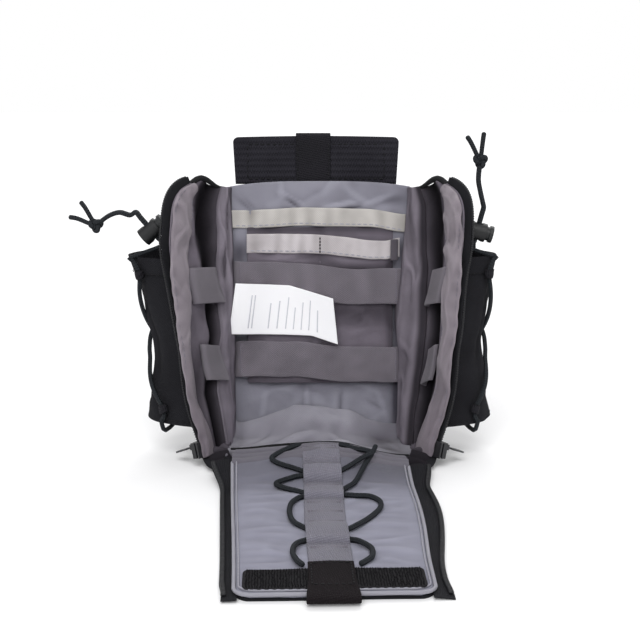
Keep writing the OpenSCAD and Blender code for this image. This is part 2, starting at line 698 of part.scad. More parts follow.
module cord_knot_left() { cord_knot(-1, knot_left, [[-0.55, 0.1, 0.84], [-0.95, -0.1, 0.3]]); }
module cord_knot_right() { cord_knot(1, knot_right, [[-0.5, 0, 0.86], [0.12, 0.1, 0.99]]); }

// ---- Rear: webbing rows with two mounting straps under them, closed by press studs ----
row_low = 45;
strap_clear = 0.5;
row_y = strap_clear * 2 + web_t;
row_w = 116;
tack_w = 5;
module rear_webbing_rows() {
    color("#202025") for (i = [0:row_count - 1]) {
        back_box(0, row_w, row_low + i * row_pitch, web_w, row_y, web_t);
        for (x = [-row_w / 2 + tack_w / 2, -8, 8, row_w / 2 - tack_w / 2])
            back_box(x, tack_w, row_low + i * row_pitch, web_w, lay, row_y - lay);
    }
}
strap_foot = 12;
module rear_mounting_straps() {
    color("#26262b") for (s = [-1, 1]) {
        back_box(s * mount_strap_x, web_w, strap_foot, body_h - 8 - strap_foot, strap_clear, web_t);
        back_box(s * mount_strap_x, web_w, strap_foot, row_low - strap_foot - 3, strap_clear + web_t, web_t);
    }
}
snap_r = 6.5;
module rear_strap_snaps() {
    color("#3c3c40") for (s = [-1, 1]) back_frame()
        translate([s * mount_strap_x, strap_clear + 2 * web_t, strap_foot + 13]) rotate([-90, 0, 0])
            cylinder(r1 = snap_r, r2 = snap_r - 1.5, h = 2);
}

back_shell();
back_lining();
base_shell();
base_lining();
seam_bindings();
rear_pocket();
rear_pocket_hem();
front_pocket();
front_pocket_hem();
back_elastic_upper();
back_elastic_lower();
sewn_label();
wall_gusset_left();
wall_gusset_right();
side_pocket_left();
side_pocket_right();
pocket_lacing_left();
pocket_lacing_right();
pocket_loops_left();
pocket_loops_right();
rear_webbing_rows();
rear_mounting_straps();
rear_strap_snaps();
side_wall_left();
side_wall_right();
wall_facing_left();
wall_facing_right();
wall_elastic_upper_left();
wall_elastic_upper_right();
wall_elastic_lower_left();
wall_elastic_lower_right();
wall_zip_tape_left();
wall_zip_tape_right();
wall_zip_teeth_left();
wall_zip_teeth_right();
zip_slider_left();
zip_slider_right();
zip_pull_left();
zip_pull_right();
front_panel_shell();
front_panel_lining();
panel_piping();
panel_zip_tapes();
panel_zip_teeth();
daisy_webbing();
panel_shock_cord();
hook_strip();
pull_tab();
top_flap();
flap_webbing();
cord_lock_left();
cord_lock_right();
lock_button_left();
lock_button_right();
lock_spring_left();
lock_spring_right();
cord_tail_left();
cord_tail_right();
cord_knot_left();
cord_knot_right();
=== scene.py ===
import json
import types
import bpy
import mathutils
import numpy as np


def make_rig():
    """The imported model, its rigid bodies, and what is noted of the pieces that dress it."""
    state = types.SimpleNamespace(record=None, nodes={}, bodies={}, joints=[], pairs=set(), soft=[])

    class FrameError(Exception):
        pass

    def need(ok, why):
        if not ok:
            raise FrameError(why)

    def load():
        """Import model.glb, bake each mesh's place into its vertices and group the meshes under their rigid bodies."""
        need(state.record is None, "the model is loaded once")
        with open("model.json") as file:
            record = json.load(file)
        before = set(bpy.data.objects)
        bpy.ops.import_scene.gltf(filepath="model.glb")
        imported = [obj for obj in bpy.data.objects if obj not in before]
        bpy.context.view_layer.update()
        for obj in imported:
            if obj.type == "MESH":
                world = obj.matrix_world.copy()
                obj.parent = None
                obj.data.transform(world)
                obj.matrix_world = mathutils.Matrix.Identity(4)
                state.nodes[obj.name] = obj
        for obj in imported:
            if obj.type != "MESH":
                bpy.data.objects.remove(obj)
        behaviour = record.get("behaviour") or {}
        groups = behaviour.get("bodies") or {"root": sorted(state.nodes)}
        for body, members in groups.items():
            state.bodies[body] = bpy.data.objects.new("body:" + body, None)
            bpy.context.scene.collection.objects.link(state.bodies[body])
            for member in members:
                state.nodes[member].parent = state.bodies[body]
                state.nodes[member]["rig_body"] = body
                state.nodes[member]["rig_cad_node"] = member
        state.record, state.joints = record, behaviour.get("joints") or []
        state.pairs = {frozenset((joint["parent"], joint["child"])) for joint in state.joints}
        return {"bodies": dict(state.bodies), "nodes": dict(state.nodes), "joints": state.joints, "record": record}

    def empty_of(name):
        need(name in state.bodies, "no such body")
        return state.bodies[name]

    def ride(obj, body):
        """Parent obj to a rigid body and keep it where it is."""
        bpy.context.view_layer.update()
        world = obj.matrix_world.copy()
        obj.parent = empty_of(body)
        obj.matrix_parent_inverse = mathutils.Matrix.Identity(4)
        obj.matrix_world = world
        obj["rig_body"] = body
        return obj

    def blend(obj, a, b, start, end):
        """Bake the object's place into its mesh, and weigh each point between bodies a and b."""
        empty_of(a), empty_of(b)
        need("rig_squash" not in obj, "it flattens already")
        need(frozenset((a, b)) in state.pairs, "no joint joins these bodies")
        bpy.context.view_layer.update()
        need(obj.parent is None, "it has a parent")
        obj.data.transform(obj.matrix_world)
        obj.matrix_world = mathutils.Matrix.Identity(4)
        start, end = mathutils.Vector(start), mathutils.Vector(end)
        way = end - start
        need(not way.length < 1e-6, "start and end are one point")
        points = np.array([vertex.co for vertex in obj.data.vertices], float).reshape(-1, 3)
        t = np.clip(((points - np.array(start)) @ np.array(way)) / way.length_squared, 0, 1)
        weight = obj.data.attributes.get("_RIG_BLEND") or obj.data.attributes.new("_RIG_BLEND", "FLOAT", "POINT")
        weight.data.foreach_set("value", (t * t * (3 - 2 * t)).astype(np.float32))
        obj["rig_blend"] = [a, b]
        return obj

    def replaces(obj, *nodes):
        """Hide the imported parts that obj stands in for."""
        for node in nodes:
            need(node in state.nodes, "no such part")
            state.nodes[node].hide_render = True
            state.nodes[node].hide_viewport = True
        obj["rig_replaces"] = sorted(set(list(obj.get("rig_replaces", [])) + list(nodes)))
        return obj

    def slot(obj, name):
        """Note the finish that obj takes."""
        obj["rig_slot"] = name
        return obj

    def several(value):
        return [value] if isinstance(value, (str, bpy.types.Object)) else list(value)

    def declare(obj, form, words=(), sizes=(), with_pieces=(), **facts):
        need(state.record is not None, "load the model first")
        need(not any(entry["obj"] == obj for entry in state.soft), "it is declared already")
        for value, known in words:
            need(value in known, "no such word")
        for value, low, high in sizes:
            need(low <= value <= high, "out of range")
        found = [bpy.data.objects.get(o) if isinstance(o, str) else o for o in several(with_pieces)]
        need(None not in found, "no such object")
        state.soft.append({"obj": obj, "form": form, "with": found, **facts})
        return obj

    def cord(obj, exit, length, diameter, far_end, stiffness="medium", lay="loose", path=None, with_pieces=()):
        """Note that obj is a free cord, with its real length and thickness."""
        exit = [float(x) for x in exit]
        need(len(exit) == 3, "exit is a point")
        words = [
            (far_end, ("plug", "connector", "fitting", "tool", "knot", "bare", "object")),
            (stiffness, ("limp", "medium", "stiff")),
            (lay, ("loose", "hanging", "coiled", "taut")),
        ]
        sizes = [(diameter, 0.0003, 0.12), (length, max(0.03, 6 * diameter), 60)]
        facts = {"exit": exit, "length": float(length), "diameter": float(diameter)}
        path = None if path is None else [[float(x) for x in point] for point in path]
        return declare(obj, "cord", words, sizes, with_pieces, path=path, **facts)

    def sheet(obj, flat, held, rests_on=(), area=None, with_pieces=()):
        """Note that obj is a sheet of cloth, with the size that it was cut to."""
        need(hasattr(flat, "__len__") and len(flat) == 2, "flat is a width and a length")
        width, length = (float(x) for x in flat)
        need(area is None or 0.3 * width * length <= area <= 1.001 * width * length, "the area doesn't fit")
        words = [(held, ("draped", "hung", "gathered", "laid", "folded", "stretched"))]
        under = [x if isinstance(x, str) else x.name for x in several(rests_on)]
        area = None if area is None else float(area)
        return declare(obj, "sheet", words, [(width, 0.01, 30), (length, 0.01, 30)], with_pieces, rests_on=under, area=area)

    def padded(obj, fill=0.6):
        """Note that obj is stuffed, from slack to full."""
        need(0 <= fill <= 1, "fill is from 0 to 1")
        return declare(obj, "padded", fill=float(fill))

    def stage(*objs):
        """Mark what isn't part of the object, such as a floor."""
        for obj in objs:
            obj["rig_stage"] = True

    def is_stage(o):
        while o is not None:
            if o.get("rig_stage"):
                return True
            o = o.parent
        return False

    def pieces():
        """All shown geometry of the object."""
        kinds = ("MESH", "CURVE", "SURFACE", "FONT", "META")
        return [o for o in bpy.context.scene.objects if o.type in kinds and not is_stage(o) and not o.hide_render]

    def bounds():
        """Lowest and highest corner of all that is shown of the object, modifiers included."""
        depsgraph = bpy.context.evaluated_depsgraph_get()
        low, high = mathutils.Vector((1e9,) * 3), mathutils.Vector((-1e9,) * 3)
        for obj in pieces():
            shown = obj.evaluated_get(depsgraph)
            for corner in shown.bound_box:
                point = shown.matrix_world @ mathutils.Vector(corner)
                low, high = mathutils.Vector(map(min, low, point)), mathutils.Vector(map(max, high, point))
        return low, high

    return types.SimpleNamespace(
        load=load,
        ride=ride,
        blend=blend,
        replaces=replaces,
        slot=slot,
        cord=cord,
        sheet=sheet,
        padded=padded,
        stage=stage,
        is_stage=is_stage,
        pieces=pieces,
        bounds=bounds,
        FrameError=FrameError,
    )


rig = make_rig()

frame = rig.load()

import json
import math

import bpy
import numpy as np

cad_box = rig.bounds()
scene = bpy.context.scene

# ---- Sizes in millimetres, as in the part's source ----
HALF_W, BODY_H, REAR, WALL_T = 66.0, 190.0, 34.0, 4.0
LEAN = math.radians(8.5)
BASE_TOP = 6.8
TOP_Z = BODY_H * math.cos(LEAN)
WALL_OUT = HALF_W + WALL_T
FLARE = {-1: math.radians(41), 1: math.radians(38)}
TRIM, PEAK = {-1: 1.5, 1: 6.5}, {-1: 5.0, 1: 4.0}
SIDES = {-1: "left", 1: "right"}
EDGE_LEAN = math.radians(2.7)
TAPE_W, FACING_W, FACING_T = 7.5, 12.0, 3.0
EDGE_Z = BASE_TOP + 0.4 + (TAPE_W + FACING_W) * math.sin(EDGE_LEAN)
EDGE_Y = 5 - REAR
EDGE_DIR = np.array([math.sin(EDGE_LEAN), math.cos(EDGE_LEAN)])
EDGE_IN = np.array([math.cos(EDGE_LEAN), -math.sin(EDGE_LEAN)])
STRAIGHT = (145 - EDGE_Z) / EDGE_DIR[1]
SHOULDER_R = 55.0
ARC_CENTRE = np.array([EDGE_Y, EDGE_Z]) + EDGE_DIR * STRAIGHT + EDGE_IN * SHOULDER_R
EDGE_LEN = STRAIGHT + SHOULDER_R * (math.radians(80) - EDGE_LEAN)
CREASE_LOW = np.array([-10.0, 0.0])
CREASE_TOP = np.array([REAR + TOP_Z * math.tan(LEAN) - 3, TOP_Z])
CREASE_DIR = (CREASE_TOP - CREASE_LOW) / np.linalg.norm(CREASE_TOP - CREASE_LOW)
CREASE_OUT = np.array([-CREASE_DIR[1], CREASE_DIR[0]])
PANEL_LEN, PANEL_T, PANEL_TURN = 206.0, 4.6, math.radians(2)
NEAR_R, FAR_R = 12.0, 9.0
NEAR_HALF = 60 - NEAR_R - 1
HINGE_Y = -REAR - 0.4 - NEAR_HALF * math.sin(PANEL_TURN)
WEB_W, WEB_T = 25.4, 1.5
CORD_D, LACE_D = 3.4, 3.2

# ---- Values that the looks share ----
MM = 0.001  # metres in a millimetre
# The mesh's tone paints light and shade: flat cloth takes the open tone, and folds are painted lighter and valleys
# darker by the fold tone per millimetre of relief.
OPEN_TONE, FOLD_TONE = 0.86, 0.55  # tone of flat cloth, and its change per millimetre of relief
THREAD_GAP, TOOTH_GAP = 4.2, 1.7  # from one stitch and from one zip tooth to the next
TOOTH = (3.1, 1.45, 2.3)  # length, width and height of a zip tooth
UNEVEN = 0.2  # share by which a hard finish's gloss varies
WAVE = 6283.2  # radians a metre of a wave one millimetre long

# ---- Small helpers ----


def smooth(t):
    """Eases from nothing at 0 to one at 1, flat beyond."""
    t = np.clip(t, 0, 1)
    return t * t * (3 - 2 * t)


def bell(t):
    """One at 0, easing to nothing at -1 and 1."""
    return (1 - np.clip(np.abs(t), 0, 1) ** 2) ** 2


def unit(v):
    """Vectors scaled to length one."""
    return v / np.maximum(np.linalg.norm(v, axis=-1, keepdims=True), 1e-9)


def stack(*parts):
    """Coordinates put together, after broadcasting, along a last axis."""
    return np.stack(np.broadcast_arrays(*parts), -1)


def crumple(a, b, size, seed):
    """Soft unevenness about one high: twelve sine waves with seeded directions,
    from half to twice the size long, each as high as it is long."""
    rng = np.random.default_rng(seed)
    total = 0
    for angle, scale, phase in rng.uniform([0, 0.5, 0], [np.pi, 2, 6.28], (12, 3)):
        wave = (a * math.cos(angle) + b * math.sin(angle)) / (size * scale)
        total = total + scale * np.sin(2 * np.pi * wave + phase)
    return total / 6


def wrinkles(a, b, size, seed):
    """Crinkles one high: rounded ridges where the soft unevenness crosses zero."""
    return bell(crumple(a, b, size, seed) / 0.42)


def creases(a, b, lines):
    """Sum of folds, each [a0, b0, a1, b1, width, height]: a bell across the line
    from (a0, b0) to (a1, b1), dying out at both of its ends."""
    total = 0
    for a0, b0, a1, b1, width, height in lines:
        da, db = a1 - a0, b1 - b0
        long = math.hypot(da, db)
        t = ((a - a0) * da + (b - b0) * db) / long**2
        off = ((a - a0) * db - (b - b0) * da) / long
        total = total + height * np.exp(-((off / width) ** 2)) * bell(2 * t - 1)
    return total


def spline(points, steps):
    """Catmull-Rom curve through the points, with so many steps a span."""
    p = np.array(points, float)
    q = np.concatenate([p[:1], p, p[-1:]])
    t = (np.arange(steps) / steps)[None, :, None]
    a, b, c, d = (q[i : len(q) - 3 + i, None] for i in range(4))
    curve = 0.5 * (2 * b + (c - a) * t + (2 * a - 5 * b + 4 * c - d) * t**2
        + (3 * b - a - 3 * c + d) * t**3)
    return np.concatenate([curve.reshape(-1, p.shape[1]), p[-1:]])


def along(path):
    """Distance along a path to each of its points."""
    steps = np.linalg.norm(np.diff(path, axis=0), axis=1)
    return np.concatenate([[0], np.cumsum(steps)])


def placed(where, at, path):
    """Places on a path whose points lie at the distances at."""
    return np.stack([np.interp(where, at, line) for line in np.transpose(path)], -1)


def spaced(path, step):
    """Points on a path a step apart, and its direction at each."""
    at = along(path)
    count = max(1, int(at[-1] / step))
    where = (np.arange(count) + 0.5) * at[-1] / count
    return placed(where, at, path), unit(placed(where, at, np.gradient(path, at, axis=0)))


# ---- Meshes: a part is (points, quads, uv at each quad's corners, slot of each quad,
# tone of each point, painted light and shade: one in the open, nothing deep in a fold) ----


def patch(ids, uv, slot=0, flip=False):
    """Quads between neighbouring rows and columns of a table of vertex numbers."""
    low, high = slice(None, -1), slice(1, None)
    corners = [(low, low), (high, low), (high, high), (low, high)]
    if flip:
        corners.reverse()
    quads = np.stack([ids[c].ravel() for c in corners], 1)
    uvs = np.stack([uv[c].reshape(-1, 2) for c in corners], 1)
    return quads, uvs, np.full(len(quads), slot)


def joined(parts):
    """Several parts as one, with the vertex numbers moved on."""
    shift = np.cumsum([0] + [len(p[0]) for p in parts])
    moved = [(p[0], p[1] + s, *p[2:]) for p, s in zip(parts, shift)]
    return tuple(np.concatenate(column) for column in zip(*moved))


def with_edges(count, length, rim):
    """Shares from 0 to 1, evenly spread, with close rows a rim's width from both ends."""
    close = np.array([0, 0.134, 0.5]) * rim / length
    middle = np.linspace(rim / length, 1 - rim / length, count)
    return np.concatenate([close, middle, 1 - close[::-1]])


def rim_share(t, length, rim):
    """Share of the full thickness at t: a quarter circle over the rim at both ends."""
    near = np.minimum(t, 1 - t) * length / rim
    return np.sqrt(1 - (1 - np.clip(near, 0, 1)) ** 2)


def fading(full, less, start, over):
    """Tone that falls by less from the height start on, over so much of the height."""
    return lambda u, v: full - less * smooth((v - start) / over)


def folds_over(mid, normal):
    """Height of a surface over its own blurred copy: its neighbours' mean, ten times."""
    soft = mid
    for _ in range(10):
        p = np.pad(soft, ((1, 1), (1, 1), (0, 0)), mode="edge")
        soft = (p[:-2, 1:-1] + p[2:, 1:-1] + p[1:-1, :-2] + p[1:-1, 2:]) / 4
    return np.sum((mid - soft) * normal, -1)


def cloth(surface, size, counts, thick, slots=(0, 0), puff=None, tone=None):
    """Closed sheet about surface(u, v), u and v from 0 to 1: its front lies half the
    thickness off along the normal du x dv and its back as far behind, and both
    meet at the four edges in a quarter circle. puff(u, v) multiplies the thickness.
    Painted light and shade as the mesh's tone: lighter on folds, darker in the valleys, times tone(u, v)."""
    rim = thick / 2
    u = with_edges(counts[0], size[0], rim)[:, None]
    v = with_edges(counts[1], size[1], rim)[None, :]
    u, v = np.broadcast_arrays(u, v)
    mid = surface(u, v)
    normal = unit(np.cross(np.gradient(mid, axis=0), np.gradient(mid, axis=1)))
    half = rim * rim_share(u, size[0], rim) * rim_share(v, size[1], rim)
    if puff is not None:
        half = half * puff(u, v)
    off = normal * half[..., None]
    n, m = u.shape
    front = np.arange(n * m).reshape(n, m)
    back = front.copy()
    back[1:-1, 1:-1] = n * m + np.arange((n - 2) * (m - 2)).reshape(n - 2, m - 2)
    points = np.concatenate([(mid + off).reshape(-1, 3), (mid - off)[1:-1, 1:-1].reshape(-1, 3)])
    uv = stack(u * size[0], v * size[1])
    faces = [patch(front, uv, slots[0]), patch(back, uv, slots[1], flip=True)]
    relief = folds_over(mid, normal)
    # Painted shade from tone(u, v), times the painted light and shade of the folds.
    wear_and_painted_shade = 1 if tone is None else np.clip(tone(u, v), 0, 1)
    shown = np.clip(OPEN_TONE + FOLD_TONE * relief, 0, 1) * wear_and_painted_shade
    hidden = np.clip(OPEN_TONE - FOLD_TONE * relief, 0, 1)[1:-1, 1:-1]
    tones = np.concatenate([shown.ravel(), hidden.ravel()])
    return (points, *(np.concatenate([f[i] for f in faces]) for i in range(3)), tones)


def closed(ids):
    """Table of vertex numbers with its first column again behind the last."""
    return np.concatenate([ids, ids[:, :1]], 1)


def ladder(n):
    """Quads that close a ring of n points, n even."""
    k = np.arange(n // 2 - 1)
    return np.stack([k, k + 1, n - 2 - k, n - 1 - k], 1)


def tube(path, radius, sides=10, ref=(0, 0, 1), flat=1.0, slot=0):
    """Round bar along a path: a ring of points about each of its points, in the plane
    across it, flat times as high as wide, with domed and closed ends."""
    p = np.array(path, float)
    r = np.broadcast_to(np.asarray(radius, float), len(p)).copy()
    t = unit(np.gradient(p, axis=0))
    dome = np.array([0.98, 0.8, 0.45])
    shrink = np.array([0.2, 0.6, 0.9])
    p = np.concatenate([p[:1] - t[:1] * r[0] * 0.8 * dome[:, None], p,
        p[-1:] + t[-1:] * r[-1] * 0.8 * dome[::-1, None]])
    r = np.concatenate([r[0] * shrink, r, r[-1] * shrink[::-1]])
    t = np.concatenate([t[[0, 0, 0]], t, t[[-1, -1, -1]]])
    side = unit(np.cross(np.array(ref, float), t))
    up = np.cross(t, side)
    angle = 2 * np.pi * np.arange(sides + 1) / sides
    ring = side[:, None] * np.cos(angle)[:, None] + flat * up[:, None] * np.sin(angle)[:, None]
    points = p[:, None] + ring[:, :-1] * r[:, None, None]
    ids = closed(np.arange(len(p) * sides).reshape(len(p), sides))
    uv = stack(along(p)[:, None], (angle * np.median(r))[None, :])
    quads, uvs, _ = patch(ids, uv, flip=True)
    caps = np.concatenate([ladder(sides)[:, ::-1], ladder(sides) + (len(p) - 1) * sides])
    points, quads = points.reshape(-1, 3), np.concatenate([quads, caps])
    uvs = np.concatenate([uvs, np.zeros((len(caps), 4, 2))])
    return points, quads, uvs, np.full(len(quads), slot), np.full(len(points), OPEN_TONE)


def beads(centre, axis, up, length, width, height, sides=6, slot=0):
    """Many small closed beads: each is four rings along its axis, narrow at both ends,
    width across and height along up."""
    centre, axis, up = (np.broadcast_arrays(centre, axis, up)[i].astype(float) for i in range(3))
    axis = unit(axis)
    side = unit(np.cross(axis, up))
    up = np.cross(side, axis)
    place = np.array([-0.5, -0.3, 0.3, 0.5]) * length
    wide = np.array([0.45, 1, 1, 0.45]) / 2
    angle = 2 * np.pi * np.arange(sides) / sides
    across = side[:, None, None] * (width * np.cos(angle))[:, None]
    ring = across + up[:, None, None] * (height * np.sin(angle))[:, None]
    points = centre[:, None, None] + axis[:, None, None] * place[:, None, None] + ring * wide[:, None, None]
    count, each = len(centre), 4 * sides
    ids = closed(np.arange(each).reshape(4, sides))
    quads, _, _ = patch(ids, np.zeros((4, sides + 1, 2)))
    quads = np.concatenate([quads, ladder(sides), ladder(sides)[:, ::-1] + 3 * sides])
    quads = (quads[None] + (each * np.arange(count))[:, None, None]).reshape(-1, 4)
    points, flat = points.reshape(-1, 3), np.zeros((len(quads), 4, 2))
    return points, quads, flat, np.full(len(quads), slot), np.full(len(points), OPEN_TONE)


def stitches(path, up, step=THREAD_GAP, length=2.9, width=0.75, slot=1):
    """Row of thread stitches laid end to end along a path."""
    points, ways = spaced(np.array(path, float), step)
    return beads(points, ways, np.array(up, float), length, width, width * 0.8, slot=slot)


def new_object(name, data):
    """A new object of that data, in the scene."""
    made = bpy.data.objects.new(name, data)
    scene.collection.objects.link(made)
    return made


def make(name, parts, finishes, body=None, stands_for=(), slot=None):
    """Makes the piece's mesh from its parts, in metres, with its cloth UV map."""
    points, quads, uvs, slots, tones = joined(parts if isinstance(parts, list) else [parts])
    mesh = bpy.data.meshes.new(name)
    mesh.from_pydata((points * MM).tolist(), [], quads.tolist())
    mesh.polygons.foreach_set("use_smooth", np.ones(len(quads), bool))
    mesh.polygons.foreach_set("material_index", slots.astype(np.int32))
    mesh.uv_layers.new(name="cloth").data.foreach_set("uv", (uvs * MM).ravel())
    mesh.attributes.new("tone", "FLOAT", "POINT").data.foreach_set("value", tones)
    for finish in finishes if isinstance(finishes, list) else [finishes]:
        mesh.materials.append(finish)
    mesh.update()
    obj = new_object(name, mesh)
    if body:
        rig.ride(obj, body)
    if stands_for:
        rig.replaces(obj, *stands_for)
    if slot:
        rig.slot(obj, slot)
    return obj


# ---- Frames of the pouch's parts ----


def back_point(x, y, z):
    """Place on the back panel: across, to the rear of its outer face, and up its slope."""
    c, s = math.cos(LEAN), math.sin(LEAN)
    return stack(x, REAR + y * c + z * s, z * c - y * s)


BACK_FRONT = np.array([0, -math.cos(LEAN), math.sin(LEAN)])


def hinge_lift(x, s):
    """How far the thick cloth at the front panel's hinge stands up: most in the
    middle, easing out over the near part of the panel and towards both corners."""
    across = 14.5 - 4.5 * smooth(-x / 62) - 9.5 * smooth((x - 8) / 50)
    return across * bell(s / 46)


def panel_point(x, s, z):
    """Place on the opened front panel: across, from the hinge, over its lining."""
    c, n = math.cos(PANEL_TURN), math.sin(PANEL_TURN)
    return stack(x * c + s * n, HINGE_Y + x * n - s * c, z + PANEL_T + hinge_lift(x, s))


def rounded(near, radius):
    """How far a round corner cuts in, so near to the end."""
    return np.where(near < radius, radius - np.sqrt(np.clip(radius**2 - (radius - near) ** 2, 0, None)), 0)


def panel_half(s):
    """Half the panel's width at s from the hinge, with its rounded corners."""
    half = 60 - 3.5 * s / PANEL_LEN
    return half - rounded(s, NEAR_R) - rounded(PANEL_LEN - s, FAR_R)


def edge_at(side, d, o):
    """(y, z) of the closed wall's zip edge, d along it and o inwards: a straight line
    that leans to the rear, then the round shoulder, drawn in below and full above."""
    o = o + TRIM[side] * bell((d - 138) / 56) - PEAK[side] * bell((d - 197) / 34)
    a = np.pi - EDGE_LEAN - np.clip(d - STRAIGHT, 0, None) / SHOULDER_R
    arc = stack(np.cos(a), np.sin(a)) * (SHOULDER_R - o)[..., None]
    return ARC_CENTRE + arc - EDGE_DIR * np.clip(STRAIGHT - d, 0, None)[..., None]


def wall_place(side, x, yz):
    """Place on a side wall drawn closed at x out from the middle: it turns outwards
    about the crease, by nothing behind it and the full flare in front, and bellies
    out a little low down near the zip edge."""
    before = (yz - CREASE_LOW) @ CREASE_OUT
    turn = FLARE[side] * smooth((before + 11) / 22)
    belly = 4.5 * bell((yz[..., 1] - 50) / 40) * smooth((before - 8) / 18)
    p = stack(x + belly, yz[..., 0], yz[..., 1])
    pivot = np.array([WALL_OUT, CREASE_LOW[0], CREASE_LOW[1]])
    k = np.array([0, CREASE_DIR[0], CREASE_DIR[1]])
    r = p - pivot
    c, n = np.cos(turn)[..., None], np.sin(turn)[..., None]
    p = pivot + r * c + np.cross(k, r) * n + k * (r @ k)[..., None] * (1 - c)
    return p * [side, 1, 1]


def wall_bend(side):
    """Where cloth on a wall starts and ends to turn about the crease, in metres."""
    c, n = math.cos(FLARE[side] / 2), math.sin(FLARE[side] / 2)
    way = np.array([side * n, CREASE_OUT[0] * c, CREASE_OUT[1] * c])
    middle = np.array([side * WALL_OUT, CREASE_LOW[0], CREASE_LOW[1]])
    return (middle - way * 11) * MM, (middle + way * 11) * MM


# ---- Materials ----


def linear(code):
    """Linear colour of an sRGB hex value."""
    parts = [int(code[i : i + 2], 16) / 255 for i in (1, 3, 5)]
    return (*(c / 12.92 if c <= 0.04045 else ((c + 0.055) / 1.055) ** 2.4 for c in parts), 1.0)


def add(tree, kind, links=None, **settings):
    """Adds a node of that kind; links gives inputs a value or another node's output."""
    node = tree.nodes.new("ShaderNode" + kind)
    for key, value in settings.items():
        setattr(node, key, value)
    for key, value in (links or {}).items():
        if isinstance(value, bpy.types.NodeSocket):
            tree.links.new(value, node.inputs[key])
        else:
            node.inputs[key].default_value = value
    return node


def new_material(name, rough, spec=0.5, metal=0.0, sheen=0.0):
    """A material with its shader's constant values set on the shader itself."""
    made = bpy.data.materials.new(name)
    made.use_nodes = True
    shader = made.node_tree.nodes["Principled BSDF"]
    shader.inputs["Roughness"].default_value = rough
    shader.inputs["Specular IOR Level"].default_value = spec
    shader.inputs["Metallic"].default_value = metal
    shader.inputs["Sheen Weight"].default_value = sheen
    shader.inputs["Sheen Roughness"].default_value = 0.5
    return made, made.node_tree, shader


def two_tone(tree, shader, share, colour, shade):
    """Colours the shader from the shade at 0 to the colour at 1 of share."""
    mixed = add(tree, "Mix", {0: share, 6: linear(shade), 7: linear(colour)}, data_type="RGBA")
    tree.links.new(mixed.outputs[2], shader.inputs["Base Color"])


def woven(name, colour, shade, threads, rough=0.8, spec=0.3, sheen=0.15, relief=0.2, crinkle=0.5,
        turned=0.0, patchy=0.5):
    """Woven cloth. Crossed sine waves, so many millimetres apart across and along, make
    the threads' height; broad soft noise makes worn patches, finer noise makes the
    crinkles, and the mesh's tone, painted light and shade, takes the colour to its
    shade in the folds."""
    made, tree, shader = new_material(name, rough, spec, sheen=sheen)
    place = add(tree, "UVMap", uv_map="cloth")
    turn = add(tree, "Mapping", {0: place.outputs[0]})
    turn.inputs["Rotation"].default_value[2] = math.radians(turned)
    split = add(tree, "SeparateXYZ", {0: turn.outputs[0]})
    waves = []
    for i in (0, 1):
        turns = add(tree, "Math", {0: split.outputs[i], 1: WAVE / threads[i]}, operation="MULTIPLY")
        waves.append(add(tree, "Math", {0: turns.outputs[0]}, operation="SINE"))
    weave = add(tree, "Math", {0: waves[0].outputs[0], 1: waves[1].outputs[0]}, operation="MULTIPLY")
    spot = add(tree, "TexCoord")
    broad = add(tree, "TexNoise", {"Vector": spot.outputs["Object"], "Scale": 28.0, "Detail": 4.0})
    fine = add(tree, "TexNoise", {"Vector": spot.outputs["Object"], "Scale": 130.0, "Detail": 3.0})
    share = add(tree, "MapRange", {0: broad.outputs[0], 1: 0.3, 2: 0.7, 3: 1 - patchy, 4: 1.0})
    share = add(tree, "Math", {0: weave.outputs[0], 1: 0.14, 2: share.outputs[0]}, operation="MULTIPLY_ADD",
        use_clamp=True)
    # The tone attribute carries painted light and shade: folds lighter, valleys and recesses darker.
    tone = add(tree, "Attribute", attribute_name="tone")
    share = add(tree, "Math", {0: share.outputs[0], 1: tone.outputs["Fac"]}, operation="MULTIPLY")
    two_tone(tree, shader, share.outputs[0], colour, shade)
    height = add(tree, "Math", {0: fine.outputs[0], 1: crinkle}, operation="MULTIPLY")
    height = add(tree, "Math", {0: weave.outputs[0], 1: relief, 2: height.outputs[0]},
        operation="MULTIPLY_ADD")
    bump = add(tree, "Bump", {"Height": height.outputs[0], "Distance": MM, "Strength": 1.0})
    tree.links.new(bump.outputs[0], shader.inputs["Normal"])
    return made


def solid(name, colour, shade, rough, grain, depth=0.05, spec=0.5, metal=0.0):
    """Hard finish: noise of a grain in millimetres mottles the colour and the gloss
    and gives the surface its fine unevenness."""
    made, tree, shader = new_material(name, rough, spec, metal)
    spot = add(tree, "TexCoord")
    noise = add(tree, "TexNoise", {"Vector": spot.outputs["Object"], "Scale": 1000 / grain, "Detail": 4.0})
    wear_and_painted_shade = add(tree, "TexNoise", {"Vector": spot.outputs["Object"], "Scale": 90.0, "Detail": 5.0})
    two_tone(tree, shader, wear_and_painted_shade.outputs[0], colour, shade)
    gloss = add(tree, "MapRange", {0: noise.outputs[0], 1: 0.3, 2: 0.7, 3: rough - UNEVEN * rough,
        4: rough + UNEVEN * rough})
    tree.links.new(gloss.outputs[0], shader.inputs["Roughness"])
    bump = add(tree, "Bump", {"Height": noise.outputs[0], "Distance": MM, "Strength": depth})
    tree.links.new(bump.outputs[0], shader.inputs["Normal"])
    return made


# Settings that several cloths share: wrinkled lining, matt cloth, coarse matt weave, black
# outer cloth and tan hem.
LINING = {"crinkle": 1.2, "patchy": 0.35}
MATT = {"spec": 0.15, "sheen": 0.0}
COARSE = {"sheen": 0.0, "relief": 0.35}
SHELL = {"rough": 0.9, "spec": 0.12, **COARSE}
RIBBON = {"rough": 0.75, "relief": 0.12, "crinkle": 1.2, "patchy": 0.4}
